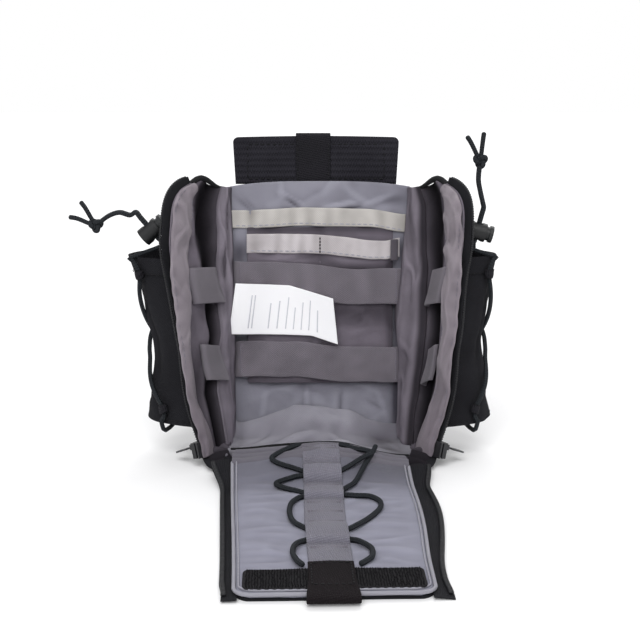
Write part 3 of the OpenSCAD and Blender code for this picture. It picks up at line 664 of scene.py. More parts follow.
# Oxford nylon, 0.4 mm threads drawn 1.1 mm apart to show: matt, with soft crinkles.
# These linings are copies of one grey nylon whose colours differ part by part, partly by the cloth and partly by how
# light falls on each part: lit and shaded copies, painted light and shade.
lining_back = woven("oxford_nylon_bluish", "#a3a2af", "#46434e", (1.1, 1.1), **LINING)
lining_panel = woven("oxford_nylon_pale", "#9c9cae", "#595864", (1.1, 1.1), crinkle=1.0, patchy=0.25)
# Wall and corner linings: darker copies, painted shade; their near-black shade colours are painted shadow in the
# walls' deep folds and the rolls' edges.
lining_wall = woven("oxford_nylon_mauve", "#928a96", "#100d12", (1.1, 1.1), spec=0.12, sheen=0.0, **LINING)
lining_roll = woven("oxford_nylon_corner", "#9f97a3", "#1d191f", (1.1, 1.1), **MATT, **LINING)
lining_base = woven("oxford_nylon_grey", "#a5a3ae", "#4c4852", (1.1, 1.1), **LINING)
lining_facing = woven("oxford_nylon_facing", "#a0979f", "#5b525c", (1.1, 1.1), crinkle=0.8, patchy=0.4)
pocket_cloth = woven("oxford_nylon_pocket", "#857d89", "#3b353e", (1.1, 1.1), crinkle=1.2, patchy=0.45)
# Textured 500 denier nylon, 0.7 mm threads drawn 1.3 mm apart: black, coarse and matt.
shell_cloth = woven("textured_nylon_black", "#232327", "#141417", (1.3, 1.3), **SHELL)
pocket_shell = woven("textured_nylon_pocket", "#28282c", "#17161a", (1.3, 1.3), **SHELL)
# Grosgrain ribbon: fine ribs across it, 1.3 mm apart.
hem_ribbon = woven("grosgrain_ribbon_tan", "#ccc8c4", "#6d6763", (1.5, 1.3), **RIBBON)
hem_ribbon_light = woven("grosgrain_ribbon_pale", "#d2cccf", "#756e6d", (1.5, 1.3), **RIBBON)
edge_ribbon = woven("grosgrain_ribbon_black", "#242426", "#161618", (1.4, 5.0), rough=0.85, **MATT)
# Knitted elastic: ribs along its length, 1.5 mm apart.
elastic_knit = woven("knitted_elastic_grey", "#868089", "#3d3840", (1.2, 1.5), rough=0.85, relief=0.3,
    crinkle=0.8, patchy=0.35)
# Satin ribbon: smooth and white.
label_satin = woven("satin_ribbon_white", "#fdfdff", "#f2f2f6", (0.9, 0.9), rough=0.55, relief=0.05,
    crinkle=0.2)
label_ink = woven("satin_ribbon_ruled", "#cfcfd6", "#bcbcc5", (0.9, 0.9), rough=0.6, relief=0.02,
    crinkle=0.1)
# Woven polyester zip tape, and moulded nylon teeth with a dull shine.
zip_cloth = woven("polyester_zip_tape", "#222226", "#141417", (1.4, 1.4), rough=0.8, **MATT, relief=0.25,
    turned=45)
zip_nylon = solid("moulded_nylon_teeth", "#1c1c20", "#111114", 0.5, 0.8, spec=0.3)
# Nylon webbing: a herringbone seen as slanting ribs, 1.8 mm apart, with a faint shine.
web_grey = woven("nylon_webbing_grey", "#7c7a87", "#4a4853", (1.8, 1.8), rough=0.7, relief=0.35,
    crinkle=0.6, turned=35, patchy=0.3)
web_black = woven("nylon_webbing_black", "#232227", "#151418", (1.8, 1.8), rough=0.75, spec=0.15, **COARSE,
    turned=35)
web_tab = woven("nylon_webbing_brown", "#1d181b", "#100e0f", (1.8, 1.8), rough=0.8, spec=0.1, **COARSE,
    turned=35)
# Braided elastic cord: strands cross at a slant, 2.6 mm apart.
cord_braid = woven("braided_elastic_cord", "#2b2e32", "#17191c", (2.6, 2.6), rough=0.75, spec=0.15,
    **COARSE, crinkle=0.1, turned=45)
# Piping: pale bias tape over a cord.
piping_tape = woven("bias_tape_pale", "#a8a7b1", "#93929d", (1.1, 1.1), rough=0.75, crinkle=0.3)
# Hook tape: black woven ground with stiff nylon hooks; loop tape: a knitted pile.
hook_nylon = solid("nylon_hooks_black", "#19181b", "#0e0d10", 0.75, 0.6, spec=0.15)
loop_pile = woven("knitted_loop_pile", "#302f35", "#1c1b20", (2.0, 4.2), rough=1.0, spec=0.08, sheen=0.0,
    relief=0.3, crinkle=1.2)
# Polyester thread, matt, in the colour of what it sews.
thread_grey = solid("polyester_thread_grey", "#827d88", "#6b6671", 0.7, 0.5)
thread_pale = solid("polyester_thread_pale", "#a9a8b3", "#8f8e99", 0.7, 0.5)
thread_black = solid("polyester_thread_black", "#1b1b1e", "#101012", 0.7, 0.5, spec=0.2)
# Hard parts: painted and enamelled zinc, moulded acetal, spring steel, lacquered brass.
slider_zinc = solid("painted_zinc_black", "#2a2a2d", "#1a1a1c", 0.38, 1.2, spec=0.4)
pull_zinc = solid("enamelled_zinc_charcoal", "#3a3a3e", "#242427", 0.35, 1.5, spec=0.5)
lock_acetal = solid("moulded_acetal_black", "#1c1d1f", "#121314", 0.4, 0.9, depth=0.1, spec=0.35)
button_acetal = solid("moulded_acetal_charcoal", "#232527", "#161819", 0.42, 0.9, depth=0.1, spec=0.35)
spring_steel = solid("spring_steel", "#a8a8a8", "#88888a", 0.3, 1.0, metal=1.0)
snap_lacquer = solid("lacquered_brass_black", "#3a3a3d", "#222225", 0.35, 1.0, metal=0.7)

# ---- Camera ----
LENS, FILM_W, LOOK_DOWN = 72.3, 36, 12.6  # millimetres, millimetres, degrees
camera = new_object("camera", bpy.data.cameras.new("camera"))
camera.data.lens, camera.data.sensor_width = LENS, FILM_W
camera.location = (0, -0.8783, 0.2956)
camera.rotation_euler = (math.radians(90 - LOOK_DOWN), 0, 0)
scene.camera = camera

# ---- Cords: the two tails over each lock and their knots ----
LOCK = {-1: np.array([-118.0, 16, 160]), 1: np.array([110.0, 14, 160])}
LOCK_TILT = {-1: math.radians(-40), 1: math.radians(14)}
STRAND_Y = LACE_D / 2 + 0.12
STRAND_LOW = -9.0
TAIL = {-1: [[-15, 0, 11], [-22, -1, 13], [-29, -1, 11], [-35, -1, 7]],
    1: [[3.5, 0, 20], [1.5, 0, 28], [0, 0, 36], [0.5, 0, 45]]}
KNOT = {-1: np.array([-39.0, -1, 4]), 1: np.array([1.0, 0, 49])}
KNOT_ENDS = {-1: [[-0.55, 0.1, 0.84], [-0.95, -0.1, 0.3]], 1: [[-0.5, 0, 0.86], [0.12, 0.1, 0.99]]}


def lock_point(side, y, z):
    """Place on a lock's own upright axis, y to the rear and z up its strands."""
    a = LOCK_TILT[side]
    return LOCK[side] + np.array([z * math.sin(a), y, z * math.cos(a)])


def knot_part(centre, aims):
    """Overhand knot: a three-lobed loop of doubled cord that crosses itself, and two
    short ends with melted tips."""
    t = np.linspace(0, 2 * np.pi, 73)
    loop = stack(np.sin(t) + 2 * np.sin(2 * t), 1.15 * np.sin(3 * t),
        np.cos(t) - 2 * np.cos(2 * t)) * [1.35, 1.5, 1.35]
    parts = [tube(centre + loop, 1.75, 8, (0.3, 1, 0.2))]
    for aim in aims:
        way = unit(np.array(aim, float))
        bow = np.array([0.0, 0.0, 1.0]) * np.array([[0], [0], [0.6], [0.9], [0.4]])
        run = centre + way * np.array([1, 6, 10, 14, 18.2])[:, None] + bow
        parts.append(tube(spline(run, 4), np.linspace(1.55, 1.7, 17), 8, (0, 1, 0)))
    return joined(parts)


for side, word in SIDES.items():
    knot = make(f"tail_knot_{word}", knot_part(LOCK[side] + KNOT[side], KNOT_ENDS[side]), cord_braid,
        f"wall_{word}", [f"cord_knot_{word}"], "shock_cord")
    for number, m in ((1, -1), (2, 1)):
        straight = [lock_point(side, m * STRAND_Y, z) for z in (STRAND_LOW + 1.6, -4, 4, 12, 17)]
        loose = [LOCK[side] + np.array(q) + [0, m * STRAND_Y, 0] for q in TAIL[side]]
        route = spline(straight + loose, 5)
        strand = make(f"tail_cord_{word}_{number}", tube(route, LACE_D / 2, 10, (0, 1, 0)), cord_braid,
            f"wall_{word}", [f"cord_tail_{word}"], "shock_cord")
        length = along(route)[-1] * MM
        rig.cord(
            strand,
            exit=(route[0] * 0.001).tolist(),
            length=float(length),
            diameter=LACE_D * 0.001,
            far_end="knot",
            stiffness="medium",
            lay="loose",
            path=(route * 0.001).tolist(),
            with_pieces=[knot] if number == 1 else [],
        )

# ---- Side pockets: the cloth skin with its cinched waist, the lacing and its loops ----
POCKET_LOW, POCKET_H = 26.0, 115.0
MOUTH = {-1: 46.0, 1: 38.0}
WAIST = {-1: 34.5, 1: 31.0}
BELLY_DIR = np.array([math.cos(math.radians(12)), math.sin(math.radians(12)), 0])


def skin_place(side, t, a, out=0.0):
    """Place on a side pocket, t from its floor (0) to its mouth (1), a from its front
    seam (0) round the belly to its rear seam (pi), and out off the cloth."""
    t, a, out = np.broadcast_arrays(*(np.asarray(x, float) for x in (t, a, out)))
    z = POCKET_LOW + POCKET_H * t
    front_d = (z - EDGE_Z) / EDGE_DIR[1]
    yz = edge_at(side, np.minimum(front_d, STRAIGHT), TAPE_W + 4.5)
    yz = yz + stack(0, 6 * t)
    front = wall_place(side, WALL_OUT + 0.5, yz) * [side, 1, 1]
    rear = stack(WALL_OUT + 0.5, REAR + z * math.tan(LEAN) - 5, z)
    wide = np.where(t < 0.5, 48.0, MOUTH[side])
    reach = WAIST[side] + (wide - WAIST[side]) * np.abs(1 - 2 * t) ** 1.5
    axis = (front - rear) / 2
    grown = 1 + out / np.linalg.norm(axis, axis=-1)
    across = np.clip(np.sin(a), 0, None) ** 0.8
    p = (front + rear) / 2 + axis * (np.cos(a) * grown)[..., None]
    p = p + BELLY_DIR * ((reach + out) * across)[..., None]
    return p * [side, 1, 1]


def pocket_bend(side):
    """Where a side pocket starts and ends to follow the wall, in metres."""
    start, end = wall_bend(side)
    return start - (end - start) * 0.4, end + (end - start) * 0.4


FRONT_LACE = [[32, 1.0, 0.6], [30, 0.9, 0], [46, 0.77, 0], [67, 0.63, 0], [90, 0.5, 0], [113, 0.37, 0],
    [134, 0.23, 0], [150, 0.1, 0], [146, 0.02, 0.5]]
REAR_LACE = [[146, 1.02, 0.6], [150, 0.9, 0], [134, 0.77, 0], [113, 0.64, 0], [101, 0.57, 2],
    [90, 0.5, 3.6], [79, 0.43, 2], [67, 0.36, 0], [46, 0.23, 0], [30, 0.1, 0], [34, 0.02, 0.5]]
LACE_OFF = LACE_D / 2 + 2.0


def lace_run(side, knots, steps=1):
    """Lacing that lies on the cloth all the way between its keepers."""
    k = spline(np.array(knots, float), steps)
    return skin_place(side, k[:, 1], np.radians(k[:, 0]), LACE_OFF + k[:, 2])


for side, word in SIDES.items():
    wall, bend = f"wall_{word}", pocket_bend(side)

    def skin(u, v):
        """Pocket cloth: upright pleats gathered at the waist, soft crinkles elsewhere."""
        a = np.pi * u
        pleats = 1.5 * np.sin(13 * a + 1.5 * np.sin(5 * v)) * bell((v - 0.5) / 0.42)
        soft = 1.1 * crumple(u * 110, v * 115, 34, 5 + side) + wrinkles(u * 110, v * 115, 40, 6 + side)
        held = bell((u - 0.5) / 0.5)
        return skin_place(side, v, a, (pleats + soft) * held)

    def pocket_floor(u, v):
        """Pocket floor: straight across from the wall to the belly, sagging a little."""
        a = np.pi * u
        belly = skin_place(side, 0.02, a, -0.4)
        front, rear = skin_place(side, 0.02, 0.0), skin_place(side, 0.02, np.pi)
        base = front + (rear - front) * u[..., None]
        p = base + (belly - base) * v[..., None]
        return p - stack(0, 0, 2.0 * np.sin(np.pi * u) * np.sin(np.pi * v))

    def mouth_hem(u, v):
        """Folded hem round the pocket's mouth, a little proud of the cloth."""
        return skin_place(side, 0.9 + 0.1 * v, np.pi * u, 0.9 + 0.5 * crumple(u * 110, v * 9, 30, 8))

    rows = np.linspace(0.02, 0.98, 60) * np.pi
    hem_line = skin_place(side, 0.905, rows, 1.9)
    foot_line = skin_place(side, 0.03, rows, 1.4)
    pocket = make(f"side_pocket_cloth_{word}",
        [cloth(skin, (110, 115), (72, 56), 1.5), cloth(mouth_hem, (108, 11.5), (60, 6), 1.6),
        cloth(pocket_floor, (100, 42), (36, 12), 1.4), stitches(hem_line, [side, 0, 0]),
        stitches(foot_line, [side, 0, 0])], [pocket_shell, thread_black], None, [f"side_pocket_{word}"],
        "pocket_shell")
    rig.blend(pocket, "pouch", wall, *bend)

    ends = {m: [lock_point(side, m * STRAND_Y, z) for z in (STRAND_LOW, STRAND_LOW - 4)] for m in (-1, 1)}
    first, second = lace_run(side, FRONT_LACE, 4), lace_run(side, REAR_LACE, 4)
    hang = [first[-1] * 0.82 + second[-1] * 0.18, first[-1] * 0.18 + second[-1] * 0.82]
    hang = [h - [0, 0, 9] for h in hang]
    route = spline([*ends[-1], *first, *hang, *second[::-1], *ends[1][::-1]], 3)
    lacing = make(f"side_pocket_lacing_{word}", tube(route, LACE_D / 2, 10, (0.2, 0.96, 0.2)), cord_braid,
        None, [f"pocket_lacing_{word}"], "shock_cord")
    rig.blend(lacing, "pouch", wall, *bend)

    loops = []
    for run in (lace_run(side, FRONT_LACE), lace_run(side, REAR_LACE)):
        for k in (1, len(run) - 2):
            way = unit(run[k + 1] - run[k - 1])
            out = np.array([side, 0.3, 0])
            turn = np.linspace(0, 2 * np.pi, 25)[:-1]
            across = unit(np.cross(way, out))
            out = np.cross(across, way)
            ring = run[k] + 2.75 * (np.cos(turn)[:, None] * across + np.sin(turn)[:, None] * out)
            ids = np.arange(24 * 8).reshape(24, 8)[::-1]
            ids = closed(np.concatenate([ids, ids[:1]], 0))
            lip = 2 * np.pi * np.arange(8) / 8
            radial = unit(ring - run[k])
            rim = radial[:, None] * (0.55 * np.cos(lip))[:, None]
            points = ring[:, None] + rim + way * (3.2 * np.sin(lip))[:, None]
            uv = stack(np.arange(25)[:, None] * 0.7, np.arange(9) * 1.0)
            loops.append((points.reshape(-1, 3), *patch(ids, uv), np.full(ids[1:, 1:].size, OPEN_TONE)))
    keepers = make(f"lacing_loops_{word}", loops, web_black, None, [f"pocket_loops_{word}"],
        "black_webbing")
    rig.blend(keepers, "pouch", wall, *bend)

# ---- Side walls: lining, outer cloth, padded facing, elastic loops, zip, corner folds ----


def wall_yz(side, u, v):
    """(y, z) on the closed wall, u from its rear seam to its zip edge, v up it."""
    front = edge_at(side, v * EDGE_LEN, TAPE_W)
    z = BASE_TOP + (TOP_Z - BASE_TOP) * v
    rear = stack(REAR + z * math.tan(LEAN), z - 4.5 * smooth((v - 0.85) / 0.15))
    crest = 6.0 * bell((u - 0.68) / 0.42) * smooth((v - 0.8) / 0.2)
    return rear + (front - rear) * u[..., None] + stack(0, crest)


WALL_FOLDS = [[52, 178, 22, 132, 3.2, -2.4], [40, 184, 12, 150, 2.6, 2.0], [58, 150, 30, 118, 3.0, 2.0],
    [48, 108, 22, 88, 3.4, -1.8], [36, 48, 8, 14, 3.0, 2.2], [24, 56, -6, 18, 2.6, -1.8],
    [40, 30, 18, 8, 2.4, -1.8], [12, 60, -12, 26, 2.4, 1.6]]
# The deep fold in front of each corner: its place and half width across the wall, as
# shares of it, from the foot to the top.
GUTTER = {-1: ([0.82, 0.78, 0.56, 0.48, 0.47, 0.47], [0.1, 0.1, 0.09, 0.1, 0.19, 0.2]),
    1: ([0.8, 0.74, 0.69, 0.61, 0.53, 0.47], [0.1, 0.12, 0.13, 0.14, 0.17, 0.18])}


def gutter_at(side, v):
    """Place and half width of the deep fold at height v."""
    return (np.interp(v, np.linspace(0, 1, 6), row) for row in GUTTER[side])


def gutter(side, u, v):
    """One in the middle of the deep fold, easing to nothing at its sides."""
    at, wide = gutter_at(side, v)
    return bell((u - at) / wide)


def wall_sag(u, v, yz, side):
    """How far the soft wall bows outwards: a deep fold behind, then a soft belly."""
    deep = 2.6 * bell((u - 0.5) / 0.5) * bell((v - 0.55) / 0.75) + 5.0 * gutter(side, u, v)
    folds = creases(yz[..., 0], yz[..., 1], WALL_FOLDS)
    loose = bell((u - 0.45) / 0.5)
    soft = 1.1 * crumple(yz[..., 0], yz[..., 1], 26, 11 + side)
    soft = soft - 0.8 * wrinkles(yz[..., 0], yz[..., 1] * 0.6, 30, 13 + side)
    return deep + (folds + soft) * loose


def wall_face(side, out, mirrored):
    """The wall's lining or outer cloth, so far out: from the rear seam to the zip edge."""

    def surface(u, v):
        """Laid on the flared wall and bowed outwards by its sag."""
        u = 1 - u if mirrored else u
        yz = wall_yz(side, u, v)
        return wall_place(side, out + wall_sag(u, v, yz, side), yz)

    return surface


for side, word in SIDES.items():
    wall, bend = f"wall_{word}", wall_bend(side)

    def wall_tone(u, v):
        """Painted shade: dark in the deep fold, and darker behind and low down."""
        u = 1 - u if side < 0 else u
        dark = gutter(side, u, v) ** 0.3
        rear = 0.55 + 0.45 * smooth((u - 0.35) / 0.4)
        return (1 - dark) * rear * (0.4 + 0.6 * smooth((v - 0.2) / 0.35))

    lining = make(f"wall_lining_{word}", cloth(wall_face(side, HALF_W + 0.9, side < 0), (82, 205), (60, 84),
        1.6, tone=wall_tone), lining_wall, None, [f"wall_gusset_{word}"], "grey_lining")
    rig.blend(lining, "pouch", wall, *bend)
    top = np.linspace(0, 1, 30)
    top_line = wall_place(side, HALF_W + 2.0, wall_yz(side, top, 1.0))
    seam_yz = wall_yz(side, np.zeros(60), np.linspace(0.02, 0.99, 60))
    seam_line = wall_place(side, WALL_OUT - 0.2, seam_yz + [-3.5, 0])
    shell = make(f"wall_outer_cloth_{word}", [
        cloth(wall_face(side, WALL_OUT - 1.1, side > 0), (82, 205), (44, 84), 2.0),
        tube(top_line, 2.3 - 1.2 * bell((top - 0.1) / 0.6), 10, (1, 0, 0), 0.9, slot=1),
        stitches(seam_line, [side, 0, 0], slot=2)], [shell_cloth, edge_ribbon, thread_black], None,
        [f"side_wall_{word}"], "black_cloth")
    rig.blend(shell, "pouch", wall, *bend)

    def facing_edges(d):
        """Distances from the zip edge to the facing's own two edges: it turns back at
        the shoulder, and is narrower low down."""
        drawn = (3.2 if side < 0 else 0.5) * smooth((125 - d) / 40)
        near = 1.5 + 5.0 * smooth((d - STRAIGHT + 8) / 24) - drawn
        low = smooth((120 - d) / 50)
        wide = 17.0 - (8.0 if side < 0 else 3.0) * low + 1.5 * smooth((40 - d) / 30)
        wide = wide + 3.0 * smooth((d - STRAIGHT - 20) / 30)
        return near, near + wide * (1 - 0.7 * smooth((d - EDGE_LEN + 24) / 24))

    def facing(u, v):
        """Padded facing beside the zip: crowned across, puckered by its stitching."""
        u = 1 - u if side < 0 else u
        d = v * EDGE_LEN
        near, far = facing_edges(d)
        o = far + (near - far) * u
        pucker = 0.35 * np.sin(d / 2.3 + 2 * np.sin(d / 17)) * bell((u - 0.85) / 0.5)
        wave = crumple(o, d, 26, 21 + side) - 0.7 * wrinkles(o * 1.6, d * 0.5, 20, 23 + side)
        return wall_place(side, HALF_W - 1.6 - 1.1 * np.sin(np.pi * u) + pucker + wave, edge_at(side, d, o))

    def facing_tone(u, v):
        """Painted shade: darker low down, where the walls come together, and a little darker about the middle on the
        right wall.
        """
        middle = (0.12 if side > 0 else 0) * bell((v - 0.45) / 0.2)
        return 1 - 0.55 * smooth((75 - v * EDGE_LEN) / 60) - middle

    def facing_fill(u, v):
        """Fuller in the middle, in slow waves up the edge."""
        return 0.75 + 0.3 * np.sin(np.pi * u) * (1 + 0.15 * np.sin(v * 61))

    d = np.linspace(3, EDGE_LEN - 2, 120)
    near, far = facing_edges(d)
    seam_out = wall_place(side, HALF_W - 3.0, edge_at(side, d, near + 1.6))
    seam_in = wall_place(side, HALF_W - 2.8, edge_at(side, d, far - 1.6))
    pad = make(f"wall_padding_{word}", [cloth(facing, (17, EDGE_LEN), (16, 150), FACING_T, puff=facing_fill,
        tone=facing_tone), stitches(seam_out, [-side, 0, 0]), stitches(seam_in, [-side, 0, 0])],
        [lining_facing, thread_grey], wall, [f"wall_facing_{word}"], "grey_lining")
    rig.padded(pad, 0.5)

    for level, centre in (("upper", 125.0), ("lower", 71.0)):

        def strap(u, v):
            """Elastic loop: stands off the wall in the middle, tacked down at its ends."""
            u = 1 - u if side < 0 else u
            z = centre - 13 + 26 * v - 6.5 * (1 - u)
            high = (centre - BASE_TOP) / (TOP_Z - BASE_TOP)
            at, wide = gutter_at(side, high)
            rear = wall_yz(side, at - (0.9 if side < 0 else -0.1) * wide, high)[..., 0]
            front = edge_at(side, centre - EDGE_Z, TAPE_W + FACING_W - 1)[..., 0]
            y = rear + (front - rear) * u
            ends = smooth(u / 0.12) * smooth((1 - u) / 0.12)
            soft = 0.35 * crumple(y, z, 18, 31)
            out = HALF_W - 0.4 - 2.6 * ends + soft + 4.2 * (1 - smooth(u / 0.25))
            return wall_place(side, out, stack(y, z))

        band = make(f"wall_elastic_{level}_{word}_band", cloth(strap, (42, 26), (34, 16), 1.4),
            elastic_knit, None, [f"wall_elastic_{level}_{word}"], "dark_elastic")
        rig.blend(band, "pouch", wall, *bend)

    def tape(u, v):
        """Zip tape along the wall edge, its free side gently rippled."""
        u = 1 - u if side > 0 else u
        o, d = 0.8 + (TAPE_W + 1.2) * u, v * EDGE_LEN
        ripple = 0.35 * np.sin(d / 9) * (1 - u)
        return wall_place(side, HALF_W + 1.8 + ripple, edge_at(side, d, o))

    make(f"wall_zip_ribbon_{word}", cloth(tape, (TAPE_W + 1.2, EDGE_LEN), (8, 110), 0.8), zip_cloth, wall,
        [f"wall_zip_tape_{word}"], "zip_tape")
    d = np.arange(1.0, EDGE_LEN - 1, TOOTH_GAP)
    outside = wall_place(side, HALF_W + 3.3, edge_at(side, d, 0.2))
    inside = wall_place(side, HALF_W + 3.3, edge_at(side, d, 3.2))
    face = wall_place(side, HALF_W + 6.3, edge_at(side, d, 1.7))
    middle = (outside + inside) / 2
    make(f"wall_zip_coil_{word}", [beads(middle, inside - outside, face - middle, *TOOTH),
        tube((outside * 0.7 + inside * 0.3), 0.6, 8, (1, 0.2, 0))], zip_nylon, wall,
        [f"wall_zip_teeth_{word}"], "zip_teeth")

    foot = wall_place(side, HALF_W + 1.8, edge_at(side, np.array([16.0, 8.0, 0.0]), 4.2))
    turn_in = [[side * 75.0, -33.5, 4.8], [side * 69.0, -38.0, 4.4], [side * 65.0, -41.5, 4.0],
        [side * 64.0, -44.0, 3.2]]
    zip_path = spline([*foot, *turn_in], 6)
    corner_zip = make(f"corner_zip_{word}", [tube(zip_path, 3.4, 10, (0, -0.6, 0.8), 0.35)], zip_cloth,
        slot="zip_tape")
    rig.blend(corner_zip, "pouch", wall, zip_path[-1] * 0.001, foot[-1] * 0.001)
    hem_yz = stack(np.linspace(-2, -26, 8), np.linspace(10, 12, 8))
    outer_edge = np.concatenate([wall_place(side, HALF_W - 0.4, hem_yz), zip_path[12:]])
    inner_edge = spline([[side * 64, -1, 8], [side * 64, -20, 10], [side * 63, -31, 13],
        [side * 60, -38, 9], [side * 60, -43, 5]], 6)

    def corner(u, v):
        """Gathered cloth from the base's side edge out to the flared wall's foot and on
        to the corner of the zip."""
        u = 1 - u if side > 0 else u
        outer, inner = (placed(v, along(edge) / along(edge)[-1], edge) for edge in (outer_edge, inner_edge))
        folds = 1.9 * np.sin(2 * np.pi * 5 * v + 2.5 * u) * np.sin(np.pi * np.clip(u, 0, 1)) ** 0.6
        return inner + (outer - inner) * u[..., None] + stack(0, 0, folds)

    # Its tone is painted shade: dark all over, and darker towards the front corner.
    gathers = make(f"corner_folds_{word}", cloth(corner, (16, 50), (24, 80), 1.4,
        tone=fading(0.45, 0.4, 0.2, 0.4)), lining_wall, slot="grey_lining")
    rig.blend(gathers, "pouch", wall, *bend)

# ---- Back: lining, pockets, hems, elastic loops, label, bindings ----
TOP_FOLDS = [[-66, 186, -50, 166, 1.4, 2.6], [-60, 184, -44, 168, 1.5, -2.6], [-34, 186, -8, 170, 1.6, 2.6],
    [-27, 181, -12, 171, 1.5, -2.6], [-4, 170, 30, 177, 1.6, 2.4], [2, 168, 38, 174, 1.4, -2.0],
    [24, 170, 62, 186, 1.6, 2.6], [42, 176, 64, 179, 2.4, -2.8], [-40, 40, -44, 10, 2.0, 1.6],
    [-10, 44, -9, 8, 1.4, 1.6], [16, 44, 14, 8, 2.2, -1.4], [40, 44, 52, 10, 1.8, 1.8],
    [28, 34, 58, 18, 1.8, -1.6]]
# Painted shade on the back lining, as folds for creases(): each darkens the tone by its height, along the top creases,
# beside the pockets' ends and by the right corner roll.
BACK_PAINTED_SHADE = [[-66, 186, -45, 164, 1.8, 0.55], [-29, 182, -10, 170, 1.6, 0.5], [0, 168, 40, 174, 1.6, 0.4],
    [44, 174, 68, 182, 4.5, 0.45], [-59, 152, -59, 126, 5.5, 0.85], [60, 154, 60, 124, 4.0, 0.7],
    [57, 60, 57, 0, 3.0, 0.6], [57, 122, 57, 56, 5.0, 0.9], [57, 90, 57, -30, 5.0, 0.9]]


def back_tone(u, v):
    """Painted shade: darker along the deep creases under the top edge and behind the pockets' ends."""
    return 1 - creases(-65.6 + 131.2 * u, 7.8 + 182.2 * v, BACK_PAINTED_SHADE)


def back_cloth(u, v):
    """Back lining: a flat rectangle, arched at its top, with folds and crumples."""
    x, z = -65.6 + 131.2 * u, 7.8 + 182.2 * v
    z = z + (1.6 - 4.0 * np.abs(x / HALF_W) ** 3) * smooth((v - 0.85) / 0.15)
    soft = creases(x, z, TOP_FOLDS) + 0.7 * crumple(x, z, 24, 3) + 0.6 * wrinkles(x, z * 1.3, 36, 2)
    return back_point(x, -3.4 - soft * bell(x / 70), z)


make("back_lining_cloth", cloth(back_cloth, (131, 182), (90, 110), 2.0, tone=back_tone), lining_back,
    "pouch", ["back_lining"], "grey_lining")


def back_outside(u, v):
    """Outer cloth of the back: flat, arched at its top, faintly uneven."""
    x, z = HALF_W - 2 * HALF_W * u, 2 + 188 * v
    z = z - 3.0 * np.abs(x / HALF_W) ** 3 * smooth((v - 0.9) / 0.1)
    return back_point(x, -1.2 + 0.4 * crumple(x, z, 40, 4), z)


row = np.linspace(-64, 64, 60)
make("back_outer_cloth", [cloth(back_outside, (2 * HALF_W, 188), (60, 80), 2.3),
    stitches(back_point(row, 0.1, 186), [0, 1, 0]), stitches(back_point(row, 0.1, 6), [0, 1, 0])],
    [shell_cloth, thread_black], "pouch", ["back_shell"], "black_cloth")


def pocket_face(top, low, wide, y, puffed, seed):
    """Flat pocket of two bays: each bay swells between the sewn sides and middle."""

    def surface(u, v):
        """Bays, folds and crinkles forward of the flat, held back by the elastics."""
        x, z = -wide + 2 * wide * u, low + (top - low) * v
        bay = np.abs(np.sin(np.pi * 2 * u)) ** 0.6
        held = 1 - 0.75 * bell((z - 120) / 17) - 0.75 * bell((z - 62) / 17)
        lines = creases(x, z, [[-50, 136, 0, 133, 1.8, 1.2], [-48, 130, 6, 138, 1.6, -0.8],
            [4, 134, 50, 128, 2.4, 1.6], [18, 104, 44, 84, 3.0, 1.6], [24, 84, 40, 104, 2.4, -1.2],
            [-40, 50, -38, 78, 3.0, 0.8]])
        soft = puffed * bay + lines + 0.5 * crumple(x, z, 22, seed)
        soft = soft + 0.6 * wrinkles(x * 0.6, z, 26, seed + 1)
        return back_point(x, y - soft * held * bell(2 * u - 1) ** 0.3, z)

    return surface


def band(x0, x1, z0, tall, y, bow=0.0, drop=lambda u: 0 * u, tuck=0.0, rough=0.0):
    """Band across the back: its height eases by drop(u), its middle bows forward and
    its ends tuck back to the lining."""

    def surface(u, v):
        """The band's place, with waves along it."""
        x = x0 + (x1 - x0) * u
        z = z0 + tall * v + drop(u) + 0.5 * crumple(x, 9 * v, 30, int(z0) + 1)
        ends = smooth(u / 0.06) * smooth((1 - u) / 0.06)
        soft = 0.6 * crumple(x, z, 20, int(z0)) + rough * crumple(x * 2.2, 5 * v, 22, int(z0) + 2)
        return back_point(x, y - bow * np.sin(np.pi * u) - soft + tuck * (1 - ends), z)

    return surface


def along_band(surface, v, out):
    """Row of places across a band at height v, so far out from it."""
    u = np.linspace(0.02, 0.98, 80)
    return surface(u, v) + BACK_FRONT * out


pocket_rear = pocket_face(158, 48, 53.3, -4.9, 0.3, 7)
# Its tone paints shade along its top edge, in the gap between the two hems.
make("rear_pocket_cloth", cloth(pocket_rear, (107, 109), (60, 60), 1.0, tone=fading(1, 0.8, 0.94, 0.05)),
    pocket_cloth, "pouch", ["rear_pocket"], "pocket_cloth")
hem_one = band(-64.5, 62.5, 157, 13, -5.6, 0.8,
    lambda u: 1.8 * np.sin(np.pi * u) - 2.5 * smooth((u - 0.82) / 0.18), rough=0.8)
make("rear_pocket_ribbon", [cloth(hem_one, (127, 13), (90, 14), 1.6),
    stitches(along_band(hem_one, 0.14, 0.85), BACK_FRONT)], [hem_ribbon, thread_pale], "pouch",
    ["rear_pocket_hem"], "tan_hem")
pocket_front = pocket_face(141, 44, 53.0, -7.0, 1.6, 9)


def front_tone(u, v):
    """Painted shade: darker under the hem's sagging half, below the elastics and towards the right end."""
    z, x = 44 + 97 * v, -53 + 106 * u
    hem_shadow = 0.65 * bell((z - 133 + 4 * smooth(x / 20)) / 6) * smooth((x + 30) / 50)
    band_shadow = 0.8 * bell((z - 97) / 17) * smooth((x - 2) / 10) + 0.6 * bell((z - 45) / 6)
    side = 0.8 * smooth((x - 46) / 6)
    return 1 - hem_shadow - band_shadow - side


